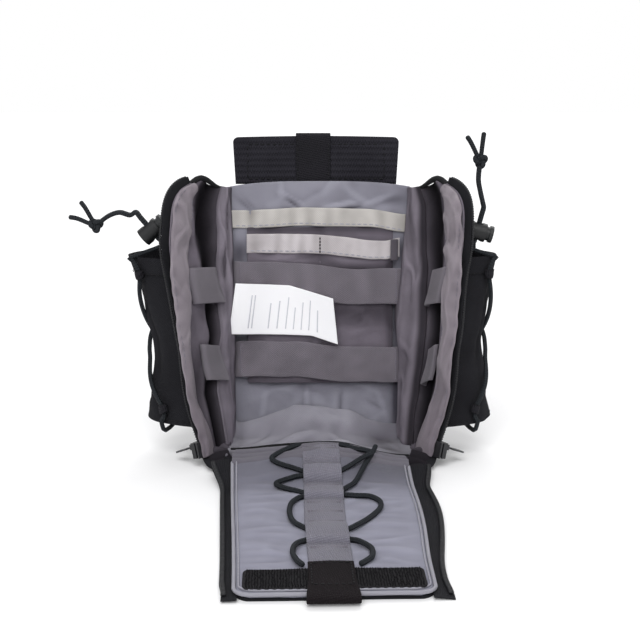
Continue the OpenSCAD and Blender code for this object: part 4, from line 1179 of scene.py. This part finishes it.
make("front_pocket_cloth", [cloth(pocket_front, (106, 97), (64, 60), 1.4, tone=front_tone),
    stitches(pocket_front(0.5, np.linspace(0.02, 0.98, 40)) + BACK_FRONT * 0.7, BACK_FRONT)],
    [pocket_cloth, thread_grey], "pouch", ["front_pocket"], "pocket_cloth")
hem_two = band(-53.5, 58, 139, 14, -8.6, 2.0,
    lambda u: -4.6 * smooth((u - 0.4) / 0.45) + 2.0 * smooth((u - 0.9) / 0.1), rough=0.8)
make("front_pocket_ribbon", [cloth(hem_two, (113, 14), (90, 14), 1.6),
    stitches(along_band(hem_two, 0.12, 0.85), BACK_FRONT),
    stitches(back_point(0, -12.0, np.linspace(139, 151, 12)), BACK_FRONT, 2.2, 1.7, 0.9, slot=2)],
    [hem_ribbon_light, thread_pale, thread_black], "pouch", ["front_pocket_hem"], "tan_hem")
make("pen_loop", cloth(band(51.5, 56.5, 134, 15, -10.8, 1.0, tuck=1.5), (5, 15), (8, 16), 1.2,
    tone=lambda u, v: 0.3), elastic_knit, "pouch", slot="dark_elastic")
for level, centre, drop in (("upper", 120.0, 5.0), ("lower", 62.0, 4.0)):
    surface = band(-65, 62.5, centre - 13, 26, -10.4, 0.7, lambda u: -drop * smooth((u - 0.25) / 0.5), 4.6)
    tacks = [stitches(surface(u, np.linspace(0.06, 0.94, 16)) + BACK_FRONT * 0.8, BACK_FRONT, 1.9, 1.5, 0.8)
        for u in (0.055, 0.945)]
    make(f"back_elastic_{level}_band", [cloth(surface, (125, 26), (80, 20), 1.4), *tacks],
        [elastic_knit, thread_grey], "pouch", [f"back_elastic_{level}"], "dark_elastic")


def label_place(u, v, out=0.0):
    """Label: a ribbon held at its left end, bent downwards and curling forward."""
    upper = placed(u, [0, 0.5, 1], [[-61, 117.5], [-22, 115.8], [9.5, 106.4]])
    lower = placed(u, [0, 0.5, 0.78, 1], [[-66, 80.6], [-26, 80], [-6, 79.2], [13, 73]])
    p = lower + (upper - lower) * v[..., None]
    curl = 3.2 * smooth((u - 0.55) / 0.45) ** 2 + 0.5 * np.sin(v * 3 + u * 4) + 5.5 * (1 - smooth(u / 0.35))
    return back_point(p[..., 0], -12.4 - curl - out, p[..., 1])


RULES = ((0.16, 0.1), (0.19, 0.1), (0.34, 0.25), (0.42, 0.2), (0.5, 0.12), (0.58, 0.3), (0.66, 0.16),
    (0.74, 0.08), (0.82, 0.26))
rules = [cloth(lambda u, v: label_place(at + 0.012 * u, 0.12 + (0.76 - short) * v, 0.32), (1.0, 26),
    (3, 14), 0.16, (1, 1)) for at, short in RULES]
tag = make("sewn_label_ribbon", [cloth(label_place, (78, 37), (40, 24), 0.5), *rules],
    [label_satin, label_ink], "pouch", ["sewn_label"], "label_cloth")
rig.sheet(tag, flat=(0.078, 0.0365), held="hung", rests_on=["back_elastic_upper_band"])

for side, word in SIDES.items():

    def corner_roll(u, v):
        """Soft upright roll of lining over each rear corner: a bowed strip from the back
        out to the wall, with long upright folds."""
        u = 1 - u if side < 0 else u
        z = 7 + 180.5 * v
        high = smooth((z - 105) / 78)
        inner_x = (63.5 + 2 * high) if side < 0 else (58.5 - 3 * bell((z - 95) / 30) + 6.5 * high)
        inner_at = back_point(side * inner_x, -5.8 + 2.5 * high, z)
        at, wide = gutter_at(side, v)
        share = at - 0.8 * wide
        yz = wall_yz(side, share, v)
        outer_at = wall_place(side, HALF_W - 0.6 + 0.6 * wall_sag(share, v, yz, side), yz)
        way = outer_at - inner_at
        out = -side * unit(np.cross([0.0, 0.0, 1.0], way))
        bow = (2.5 if side < 0 else 4.0) * np.sin(np.pi * u) ** 0.7
        lines = np.sin(9.5 * u + 1.3 * np.sin(z / 23)) + 0.9 * crumple(20 * u, z, 30, 41 + side)
        lines = lines + 0.9 * wrinkles(26 * u, z * 0.35, 16, 43 + side)
        return inner_at + way * u[..., None] + out * (bow + lines * np.sin(np.pi * u))[..., None]

    def roll_tone(u, v):
        """Painted shade: darker towards both of its sides, and the right roll darker overall."""
        u = 1 - u if side < 0 else u
        if side < 0:
            return (0.2 + 0.8 * smooth((u - 0.08) / 0.3)) * (1 - 0.4 * smooth((u - 0.9) / 0.1))
        return 0.8 * (0.15 + 0.85 * smooth(u / 0.2)) * (1 - 0.9 * smooth((u - 0.76) / 0.16))

    roll = make(f"corner_roll_{word}", cloth(corner_roll, (34, 180), (34, 110), 1.6, tone=roll_tone),
        lining_roll, None, ["seam_bindings"], "dark_grey_binding")
    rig.blend(roll, "pouch", f"wall_{word}", *wall_bend(side))
    z = np.linspace(3, 183.5, 60)
    make(f"rear_seam_tape_{word}", [tube(back_point(side * 67.4, -1.6, z), 2.5, 10, (0, 1, 0)),
        stitches(back_point(side * 66.6, 0.75, z), [0, 1.0, 0])], [edge_ribbon, thread_black], "pouch",
        slot="black_cloth")

# ---- Base and hinge ----
BASE_FOLDS = [[-62, -30, -34, 8, 1.8, 2.6], [-52, -32, -28, 4, 1.6, -2.2], [-44, 2, 2, 16, 1.8, 2.2],
    [-60, -6, -30, 24, 1.8, -1.8], [4, 16, 36, -10, 1.8, 2.8], [0, 10, 32, -16, 1.6, -2.4],
    [24, 8, 50, -32, 1.8, 2.6], [18, 0, 42, -32, 1.5, -2.2], [42, 20, 62, -22, 1.8, 2.4],
    [30, 22, 60, 4, 1.6, -1.8], [-16, 22, 22, 22, 1.8, 1.6]]
# Painted shade on the base lining, as folds for creases(): in the valleys between the folds, towards the right and at
# both front corners.
BASE_PAINTED_SHADE = [[-56, -26, -28, 12, 2.2, 0.45], [0, 12, 34, -14, 2.4, 0.4], [18, 2, 44, -32, 2.4, 0.45],
    [30, 16, 62, 8, 6.0, 0.5], [44, 4, 60, -34, 5.0, 0.4], [38, 30, 44, -34, 10.0, 0.35],
    [-66, 12, -56, -34, 3.0, 0.5], [-72, -30, -54, -40, 7.0, 0.9], [54, -40, 72, -30, 7.0, 0.9]]


def base_tone(u, v):
    """Painted shade: darker in the valleys between the folds, behind, at the front corners and towards the right
    corner.
    """
    x = -65.4 + 130.8 * u
    corner = 0.17 * smooth((x - 20) / 10) + 0.3 * smooth((x - 32) / 18)
    return 1 - creases(x, -34.0 + 63.4 * v, BASE_PAINTED_SHADE) - corner - 0.12 * smooth((v - 0.72) / 0.15)


def base_cloth(u, v):
    """Base lining: rises to the hinge's lip in front and in a soft arch behind."""
    x, y = -65.4 + 130.8 * u, -34.0 + 63.4 * v
    lip = (hinge_lift(x, 0) - 1.2) * smooth((-2 - y) / 30) * (1 - 0.6 * smooth((np.abs(x) - 54) / 9))
    arch = 14.0 * bell((x + 6) / 58) * smooth((y - 2) / 27)
    cove = 9.0 * smooth((y - 14) / 16) + 2.5 * smooth((np.abs(x) - 56) / 9)
    soft = creases(x, y, BASE_FOLDS) + 1.2 * crumple(x, y, 24, 51) + 0.8 * wrinkles(x, y, 34, 52)
    return stack(x, y, 4.8 + lip + arch + cove + soft * bell(x / 70))


base_pad = make("base_lining_cloth", cloth(base_cloth, (131, 63), (90, 56), 3.6, tone=base_tone),
    lining_base, None, ["base_lining"], "base_padding")
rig.blend(base_pad, "pouch", "panel", (0, -0.026, 0.005), (0, -0.040, 0.005))
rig.padded(base_pad, 0.3)


def base_under(u, v):
    """Flat underside of the base."""
    y, x = -33.6 + 65.0 * u, -65.8 + 131.6 * v
    return stack(x, y, 1.2)


make("base_outer_cloth", cloth(base_under, (65, 131), (30, 50), 2.2), shell_cloth, "pouch", ["base_shell"],
    "black_cloth")


def hinge_cloth(u, v):
    """Outer cloth that carries on from the base to the front panel, under the seam."""
    x, y = -HALF_W + 2 * HALF_W * u, -57 + 31 * v
    rise = np.where(y < -36, hinge_lift(x, -36 - y), hinge_lift(x, 0) * smooth((-2 - y) / 30))
    return stack(x, y, 1.0 + 0.9 * rise)


across = np.linspace(-61, 61, 80)
seam = make("hinge_seam_tape", tube(stack(across, -34.4 + 0.6 * np.sin(across / 7),
    6.3 + hinge_lift(across, 0)), 0.8, 8, (0, 0, 1)), edge_ribbon, slot="black_cloth")
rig.blend(seam, "pouch", "panel", (0, -0.020, 0.005), (0, -0.043, 0.005))
hinge = make("hinge_outer_cloth", cloth(hinge_cloth, (2 * HALF_W, 31), (60, 28), 1.2), shell_cloth,
    slot="black_cloth")
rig.blend(hinge, "pouch", "panel", (0, -0.027, 0.002), (0, -0.037, 0.002))


def hinge_inside(u, v):
    """Loose lining over the hinge, from the seam on to the panel: soft folds across."""
    s = 17.0 - 19.5 * v
    half = 60 - 2.6 * smooth((8 - s) / 12)
    x = (2 * u - 1) * half
    folds = 0.9 * np.sin(s / 1.15 + 1.2 * np.sin(x / 15)) + 0.8 * crumple(x, 2 * s, 24, 64)
    sunk = 2.4 * (1 - smooth((17 - s) / 4)) + 1.4 * smooth((s + 2.5) / -3 + 1)
    return panel_point(x, s, 1.5 + folds * bell(2 * v - 1) * (1 - 0.7 * bell(x / 15)) - sunk)


# Its tone is painted shade: dark all over, and darker towards the seam at the hinge.
inside = make("hinge_lining_cloth", cloth(hinge_inside, (118, 19), (90, 34), 1.2,
    tone=fading(0.28, 0.2, 0.75, 0.25)), lining_base, slot="grey_lining")
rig.blend(inside, "pouch", "panel", (0, -0.024, 0.006), (0, -0.035, 0.006))

# ---- Front panel ----
PANEL_FOLDS = [[-56, 40, -16, 44, 2.6, 1.1], [-56, 62, -14, 58, 2.6, 1.2], [-54, 84, -24, 88, 2.4, 1.0],
    [-56, 118, -16, 112, 3.0, 1.2], [-54, 150, -20, 154, 2.6, 1.2], [-56, 166, -18, 162, 2.2, -0.9],
    [56, 44, 18, 40, 2.6, 1.1], [56, 70, 30, 76, 2.4, 1.2], [56, 98, 18, 94, 2.8, 1.1],
    [56, 128, 16, 132, 2.8, -1.0], [54, 152, 20, 146, 2.6, 1.3], [50, 172, 26, 160, 2.2, 1.0],
    [-50, 20, -22, 12, 3.0, 1.2], [50, 16, 24, 24, 3.0, 1.3]]


def panel_rows(v):
    """Distance from the hinge for v from the far end (0) to the hinge (1), with close
    rows at the round corners."""
    return PANEL_LEN * (1 - (v - 0.09 * np.sin(2 * np.pi * v)))


def panel_bow(s):
    """How far the panel's right edge bows out in its middle."""
    return 2.0 * bell((s - 95) / 75)


def panel_side(m, s):
    """How far the panel's left (-1) or right (1) edge lies from its middle: soft cloth
    draws in a little towards the far end and bows out on the right."""
    return panel_half(s) - (3.2 if m < 0 else 1.0) * smooth(s / 200) + (panel_bow(s) if m > 0 else 0)


def panel_lining(u, v):
    """Front panel lining: crowned, with folds beside the webbing."""
    s = panel_rows(v)
    left, right = panel_side(-1, s) - 1.2, panel_side(1, s) - 1.2
    x = (left + right) * u - left
    sides = bell(2 * u - 1) ** 0.25 * bell(2 * v - 1) ** 0.25
    soft = creases(x, s, PANEL_FOLDS) + 0.5 * crumple(x, s * 1.6, 22, 61)
    soft = soft + 0.5 * wrinkles(x * 0.5, s, 28, 63)
    return panel_point(x, s, -1.6 + 0.8 * sides + soft * sides * smooth((np.abs(x) - 10) / 8))


def panel_outside(u, v):
    """Outer cloth of the front panel, faintly uneven."""
    s = panel_rows(v)
    left, right = panel_side(-1, s), panel_side(1, s)
    x = right - (left + right) * u
    return panel_point(x, s, -3.4 + 0.25 * crumple(x, s, 40, 62))


def panel_tone(u, v):
    """Painted shade: darker where the cloth turns down from the hinge's lip, more so on the right."""
    near = 1 - smooth((panel_rows(v) - 20) / 48)
    return 1 - (0.72 + 0.2 * smooth((u - 0.58) / 0.15)) * near


pad = make("front_panel_padding", cloth(panel_lining, (118, PANEL_LEN), (80, 140), 2.6, tone=panel_tone),
    lining_panel, "panel", ["front_panel_lining"], "panel_lining")
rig.padded(pad, 0.3)
s = np.concatenate([np.linspace(14, 196, 60), PANEL_LEN - 10 * np.cos(np.linspace(0.15, np.pi / 2, 14))])
rim_x = np.concatenate([-panel_side(-1, s), panel_side(1, s[::-1])])
rim_s = np.concatenate([s, s[::-1]])
rim = panel_point(rim_x, rim_s, -0.7)
inner_rim = panel_point(rim_x * (1 - 2.8 / 60), rim_s - 2.6 * smooth((rim_s - 190) / 16), 0.4)
make("front_panel_outer_cloth", cloth(panel_outside, (120, PANEL_LEN), (60, 100), 2.2), shell_cloth,
    "panel", ["front_panel_shell"], "black_cloth")
make("front_panel_piping", [tube(rim, 1.15, 10, (0, 0, 1)), tube(inner_rim, 0.55, 8, (0, 0, 1)),
    stitches(inner_rim + [0, 0, 0.45], [0, 0, 1])], [piping_tape, thread_pale], "panel", ["panel_piping"],
    "piping")
tapes, coils = [], []


def tape_extra(m, s):
    """How much more of the zip tape shows: beside the hinge, and where the right one
    lies open in its middle."""
    near = 6.5 * (1 - smooth((s - 8) / 34))
    return near + (7.2 * bell((s - 85) / 95) - panel_bow(s) if m > 0 else 0 * s)


for m in (-1, 1):

    def band_tape(u, v):
        """Zip tape beside the panel, a little rippled, flaring at its loose far end."""
        s = 208 - 204 * v
        a = -2.0 + (10.2 + tape_extra(m, s)) * (u if m > 0 else 1 - u)
        flare = (1.5 if m > 0 else -1.5) * smooth((s - 185) / 18) * smooth(a / 8)
        x = m * (panel_side(m, np.clip(s, 13, 195)) + a + flare)
        return panel_point(x, s, -2.9 - 0.08 * a + 0.5 * np.sin(s / 13 + m) * smooth(a / 8))

    tapes.append(cloth(band_tape, (10.2, 204), (9, 110), 0.8))
    s = np.arange(11, 204, TOOTH_GAP)
    flare = (1.2 if m > 0 else -1.2) * smooth((s - 185) / 18)
    x = panel_side(m, np.clip(s, 13, 195)) + 6.5 + flare + tape_extra(m, s)
    line = panel_point(m * x, s, -1.9 + 0.5 * np.sin(s / 13 + m) * 0.8)
    coils.append(beads(line, [1.0, 0, 0], [0, 0, 1.0], *TOOTH))
    coils.append(tube(line + [m * 0.9, 0, 0.2], 0.6, 8, (0, 0, 1)))
make("front_panel_zip_ribbons", tapes, zip_cloth, "panel", ["panel_zip_tapes"], "zip_tape")
make("front_panel_zip_coils", coils, zip_nylon, "panel", ["panel_zip_teeth"], "zip_teeth")

TUNNELS = [[24, 41], [50, 71], [113, 144]]


def daisy_height(s):
    """Height of the webbing over the lining: flat where it is sewn, standing up in
    rounded tunnels where the cord passes, faintly puffed between."""
    total = 0.5 * np.abs(np.sin(s / 9))
    for a, b in TUNNELS:
        dip = 1 - 0.12 * np.cos((s - a) / (b - a) * 2 * np.pi)
        total = total + 3.6 * smooth((s - a + 0.5) / 5) * smooth((b + 0.5 - s) / 5) * dip
    return total


def daisy(u, v):
    """Webbing along the panel: cupped across, following its tunnels."""
    s = 178.5 - 183.5 * v
    x = -WEB_W / 2 + WEB_W * u + 0.5 * np.sin(s / 24)
    cup = 0.5 * bell(2 * u - 1)
    return panel_point(x, s, WEB_T / 2 + 0.1 + daisy_height(s) + cup)


tacks = []
for s in (7, 20, 46, 76, 92, 109, 149, 170):
    x = np.linspace(-11, 11, 20)
    for step in (-1.0, 1.0):
        tacks.append(stitches(panel_point(x, s + step, 2.0 + daisy_height(s)), [0, 0, 1.0], 1.7, 1.4, 0.8))
chain = make("daisy_chain_webbing", [cloth(daisy, (WEB_W, 183), (20, 150), WEB_T), *tacks],
    [web_grey, thread_grey], None, ["daisy_webbing"], "grey_webbing")
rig.blend(chain, "pouch", "panel", (0, -0.024, 0.006), (0, -0.035, 0.006))

CORD_Z = CORD_D / 2 + 0.3
LEFT_CORD = [[-14, 3], [-23, 8], [-31, 14], [-33, 18], [-28, 23], [-18, 28], [-9, 32], [-19, 36], [-30, 42],
    [-27, 49], [-18, 56], [-9, 61], [-16, 69], [-21, 80], [-22, 97], [-19, 112], [-10, 123], [-10, 134],
    [-19, 145], [-21, 157], [-19, 168], [-16, 174]]
RIGHT_UPPER = [[14, 3, 0], [23, 7, 0], [32, 12, 3], [34, 16, 4], [28, 21, 3], [18, 27, 0], [9, 32, 0]]
RIGHT_CORD = [[38, 2, 3], [35, 9, 0], [32, 17, 0], [27, 29, 0], [20, 45, 0], [10, 59, 0], [18, 66, 0],
    [29, 68, 0], [35, 77, 0], [34, 90, 0], [26, 106, 0], [17, 118, 0], [9, 125, 0], [9, 134, 0],
    [18, 142, 0], [24, 152, 0], [24, 163, 0], [21, 169, 0], [17, 174, 0]]
runs = []
for knots in (LEFT_CORD, RIGHT_UPPER, RIGHT_CORD):
    k = np.array([[*q, 0][:3] for q in knots], float)
    k = spline(k, 6)
    over = 0.7 * smooth((np.abs(k[:, 0]) - 12) / 6)
    runs.append(tube(panel_point(k[:, 0], k[:, 1], CORD_Z + k[:, 2] + over), CORD_D / 2, 10, (0, 0, 1)))
make("front_panel_cord", runs, cord_braid, "panel", ["panel_shock_cord"], "shock_cord")


HOOK_FAR, HOOK_W = 203.0, 26


def hook_height(low, x, v):
    """Height on the hook tape's slow waves, from its lowest."""
    return low + 0.5 * np.sin(x / 19 + 0.6) * np.sin(np.pi * v) + 0.3 * np.cos(x / 11)


def hook_base(u, v):
    """Ground of the hook tape: a rounded rectangle in slow waves."""
    s = HOOK_FAR - HOOK_W * v
    near = np.minimum(s - (HOOK_FAR - HOOK_W), HOOK_FAR - s)
    half = 50.2 - rounded(near, 4)
    x = (2 * u - 1) * half + 1.2
    return panel_point(x, s, hook_height(0.9, x, v))


grid_x, grid_s = np.meshgrid(np.arange(-46.8, 49.5, 1.55), np.arange(179, 202, 1.5))
strewn = np.random.default_rng(5).uniform(-0.4, 0.4, (2, grid_x.size))
spot_x, spot_s = grid_x.ravel() + strewn[0], grid_s.ravel() + strewn[1]
foot = panel_point(spot_x, spot_s, hook_height(1.9, spot_x, (HOOK_FAR - spot_s) / HOOK_W))
lean = stack(0.35 * np.cos(spot_x * 3.1), 0.5 * np.sin(spot_s * 2.7), 1.0)
make("hook_tape", [cloth(hook_base, (105, 25), (60, 20), 1.3),
    beads(foot, lean, [1.0, 0, 0], 1.5, 0.6, 0.6, sides=4)], hook_nylon, "panel", ["hook_strip"],
    "hook_tape")

TAB = spline([[171, 2.5], [186, 2.75], [201, 2.6], [207, 2.1], [212, 1.5], [215, 0.3], [214.6, -1.6],
    [212, -2.7], [207.5, -2.9]], 5)
TAB_AT = along(TAB)


def tab(u, v):
    """Pull tab: webbing folded back under itself past the panel's end, flaring a little."""
    at = (1 - v) * TAB_AT[-1]
    s, z = np.moveaxis(placed(at, TAB_AT, TAB), -1, 0)
    x = (2 * u - 1) * (13.0 + 1.6 * smooth((at - 22) / 22))
    return panel_point(x, s, z + 0.35 * bell(2 * u - 1) * smooth((44 - at) / 10))


across, up = np.linspace(-11, 11, 20), np.linspace(175, 203, 20)
box_sides = ((across, 174.5), (across, 203.0), (-11.2, up), (11.2, up))
box = [stitches(panel_point(x, s, 3.75), [0, 0, 1.0], 3.2, 2.2, 0.8) for x, s in box_sides]
make("pull_tab_webbing", [cloth(tab, (26, TAB_AT[-1]), (16, 60), WEB_T), *box], [web_tab, thread_black],
    "panel", ["pull_tab"], "tab_webbing")

# ---- Top flap ----


def flap_face(u, v):
    """Loop flap: ribbed across, narrower at its hinge, with rounded upper corners."""
    z = 190.2 + 34 * v
    corner = np.where(v > 0.88, 4 - np.sqrt(np.clip(16 - ((v - 0.88) / 0.12 * 4) ** 2, 0, None)), 0)
    half = 61 - 2.0 * (1 - v) - corner
    x = -3 + (2 * u - 1) * half
    rib = 0.22 * np.sin(2 * np.pi * z / 4.2)
    lift = 1.2 * np.cos((x + 3) / 61 * 1.4) * v
    return back_point(x, 3.2 + rib + 0.5 * crumple(x, z, 50, 71), z + lift - 0.6)


across, up = np.linspace(-53, 47, 40), np.linspace(193.5, 218.5, 20)
frame_sides = ((across, 218.5), (across, 193.5), (-53.0, up), (47.0, up))
sewn = [stitches(back_point(x, y, z), [0, -1.0, 0]) for x, z in frame_sides for y in (1.45, 4.95)]
flap = make("top_flap_padding", [cloth(flap_face, (122, 34), (80, 46), 3.0), *sewn],
    [loop_pile, thread_black], "flap", ["top_flap"], "loop_flap")
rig.padded(flap, 0.3)

WRAP = spline([[0.95, 190.3], [0.95, 206], [0.9, 222], [1.3, 225.2], [3.2, 226.2], [5.1, 225.2], [5.5, 222],
    [5.45, 206], [5.45, 190.3]], 6)
WRAP_AT = along(WRAP)


def wrap(u, v):
    """Webbing laid over the flap: up behind, round the top and down in front."""
    y, z = np.moveaxis(placed(v * WRAP_AT[-1], WRAP_AT, WRAP), -1, 0)
    return back_point(-5 - WEB_W / 2 + WEB_W * u, y, z)


edge = np.linspace(191.5, 220, 24)
sides_sewn = [stitches(back_point(x, 0.1, edge), [0, -1.0, 0], 3.4, 2.4, 0.8) for x in (-16.2, 6.2)]
make("flap_webbing_wrap", [cloth(wrap, (WEB_W, WRAP_AT[-1]), (18, 60), WEB_T), *sides_sewn],
    [web_black, thread_black], "flap", ["flap_webbing"], "black_webbing")

# ---- Rear webbing and straps ----
TACK_X = (-55.5, -8.0, 8.0, 55.5)
rows = []
for low in (45.0, 95.8, 146.6):

    def row_band(u, v):
        """Row of webbing: stands off the back, held down at its tacks."""
        x, z = 58 - 116 * u, low + WEB_W * v
        held = np.max([bell((x - t) / 8) for t in TACK_X], axis=0)
        return back_point(x, 3.3 - 2.3 * held, z)

    rows.append(cloth(row_band, (116, WEB_W), (90, 16), WEB_T))
    z = np.linspace(low + 1.5, low + 24, 16)
    rows.extend(stitches(back_point(t + d, 1.95, z), [0, 1.0, 0], 1.8, 1.5, 0.9) for t in TACK_X
        for d in (-1.0, 1.0))
make("rear_webbing_grid_rows", rows, [web_black, thread_black], "pouch", ["rear_webbing_rows"],
    "black_webbing")
straps = []
for x0 in (-28.0, 28.0):

    def long_strap(u, v):
        """Mounting strap: straight up the back."""
        return back_point(x0 + 12.5 - 25 * u, 1.3, 12 + 170 * v)

    def folded_end(u, v):
        """Folded end of the strap, over its foot."""
        z = 12 + 30 * v
        return back_point(x0 + 12.5 - 25 * u, 2.75 - 0.9 * smooth((14 - z) / 3), z)

    straps += [cloth(long_strap, (25, 170), (14, 60), 1.4), cloth(folded_end, (25, 30), (14, 20), 1.4)]
    x = np.linspace(x0 - 10.5, x0 + 10.5, 12)
    straps += [stitches(back_point(x, 3.55, z), [0, 1.0, 0], 1.9, 1.5, 0.8) for z in (38.5, 40.5)]
make("rear_straps", straps, [web_black, thread_black], "pouch", ["rear_mounting_straps"], "black_webbing")

# ---- Hard parts keep their own shape and get their finish ----
HARD = {"zip_slider": slider_zinc, "zip_pull": pull_zinc, "cord_lock": lock_acetal,
    "lock_button": button_acetal, "lock_spring": spring_steel}
hard = [(f"{node}_{word}", finish) for node, finish in HARD.items() for word in SIDES.values()]
for node, finish in [*hard, ("rear_strap_snaps", snap_lacquer)]:
    part = frame["nodes"][node]
    part.data.materials.clear()
    part.data.materials.append(finish)

# ---- Stage: pale floor, soft lamps, white surroundings ----


def seen_share(tree):
    """One for what the camera, mirrors and glass see, nothing for all other light."""
    path = add(tree, "LightPath")
    both = {0: path.outputs["Is Camera Ray"], 1: path.outputs["Is Glossy Ray"]}
    total = add(tree, "Math", both, operation="MAXIMUM")
    last = {0: total.outputs[0], 1: path.outputs["Is Transmission Ray"]}
    return add(tree, "Math", last, operation="MAXIMUM").outputs[0]


def seen_white(tree, lit, strength):
    """Adds plain white light to a surface for what the camera, mirrors and glass see."""
    level = add(tree, "Math", {0: seen_share(tree), 1: strength}, operation="MULTIPLY")
    glow = add(tree, "Emission", {"Color": (1, 1, 1, 1), "Strength": level.outputs[0]})
    return add(tree, "AddShader", {0: lit, 1: glow.outputs[0]})


floor_paint = bpy.data.materials.new("studio_floor")
floor_paint.use_nodes = True
tree = floor_paint.node_tree
tree.nodes.remove(tree.nodes["Principled BSDF"])
matt = add(tree, "BsdfDiffuse", {"Color": linear("#f8f8f9")})
mixed = seen_white(tree, matt.outputs[0], 0.07)
tree.links.new(mixed.outputs[0], tree.nodes["Material Output"].inputs["Surface"])
floor_mesh = bpy.data.meshes.new("floor")
floor_mesh.from_pydata([(-3, -1.6, 0), (3, -1.6, 0), (3, 4, 0), (-3, 4, 0)], [], [(0, 1, 2, 3)])
floor_mesh.materials.append(floor_paint)
floor = new_object("floor", floor_mesh)
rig.stage(floor)

world = bpy.data.worlds.new("studio")
world.use_nodes = True
tree = world.node_tree
level = add(tree, "MapRange", {0: seen_share(tree), 3: 0.45, 4: 1.0})
tree.nodes["Background"].inputs[0].default_value = (1, 1, 1, 1)
tree.links.new(level.outputs[0], tree.nodes["Background"].inputs[1])
scene.world = world


def soft_sun(name, way, spread, strength):
    """Soft light from one direction, as wide as a large softbox, the same everywhere."""
    made = new_object(name, bpy.data.lights.new(name, "SUN"))
    made.data.energy, made.data.angle = strength, math.radians(spread)
    x, y, z = unit(np.array(way, float))
    made.rotation_euler = (math.acos(z), 0, math.atan2(x, -y))


soft_sun("front_softbox", (-0.12, -1.0, 1.1), 50, 2.0)
soft_sun("top_softbox", (0.1, 0.9, 1.0), 50, 1.1)

scene.view_settings.view_transform = "Standard"

seen_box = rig.bounds()
json.dump([[list(corner) for corner in box_] for box_ in (cad_box, seen_box)], open("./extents.json", "w"))
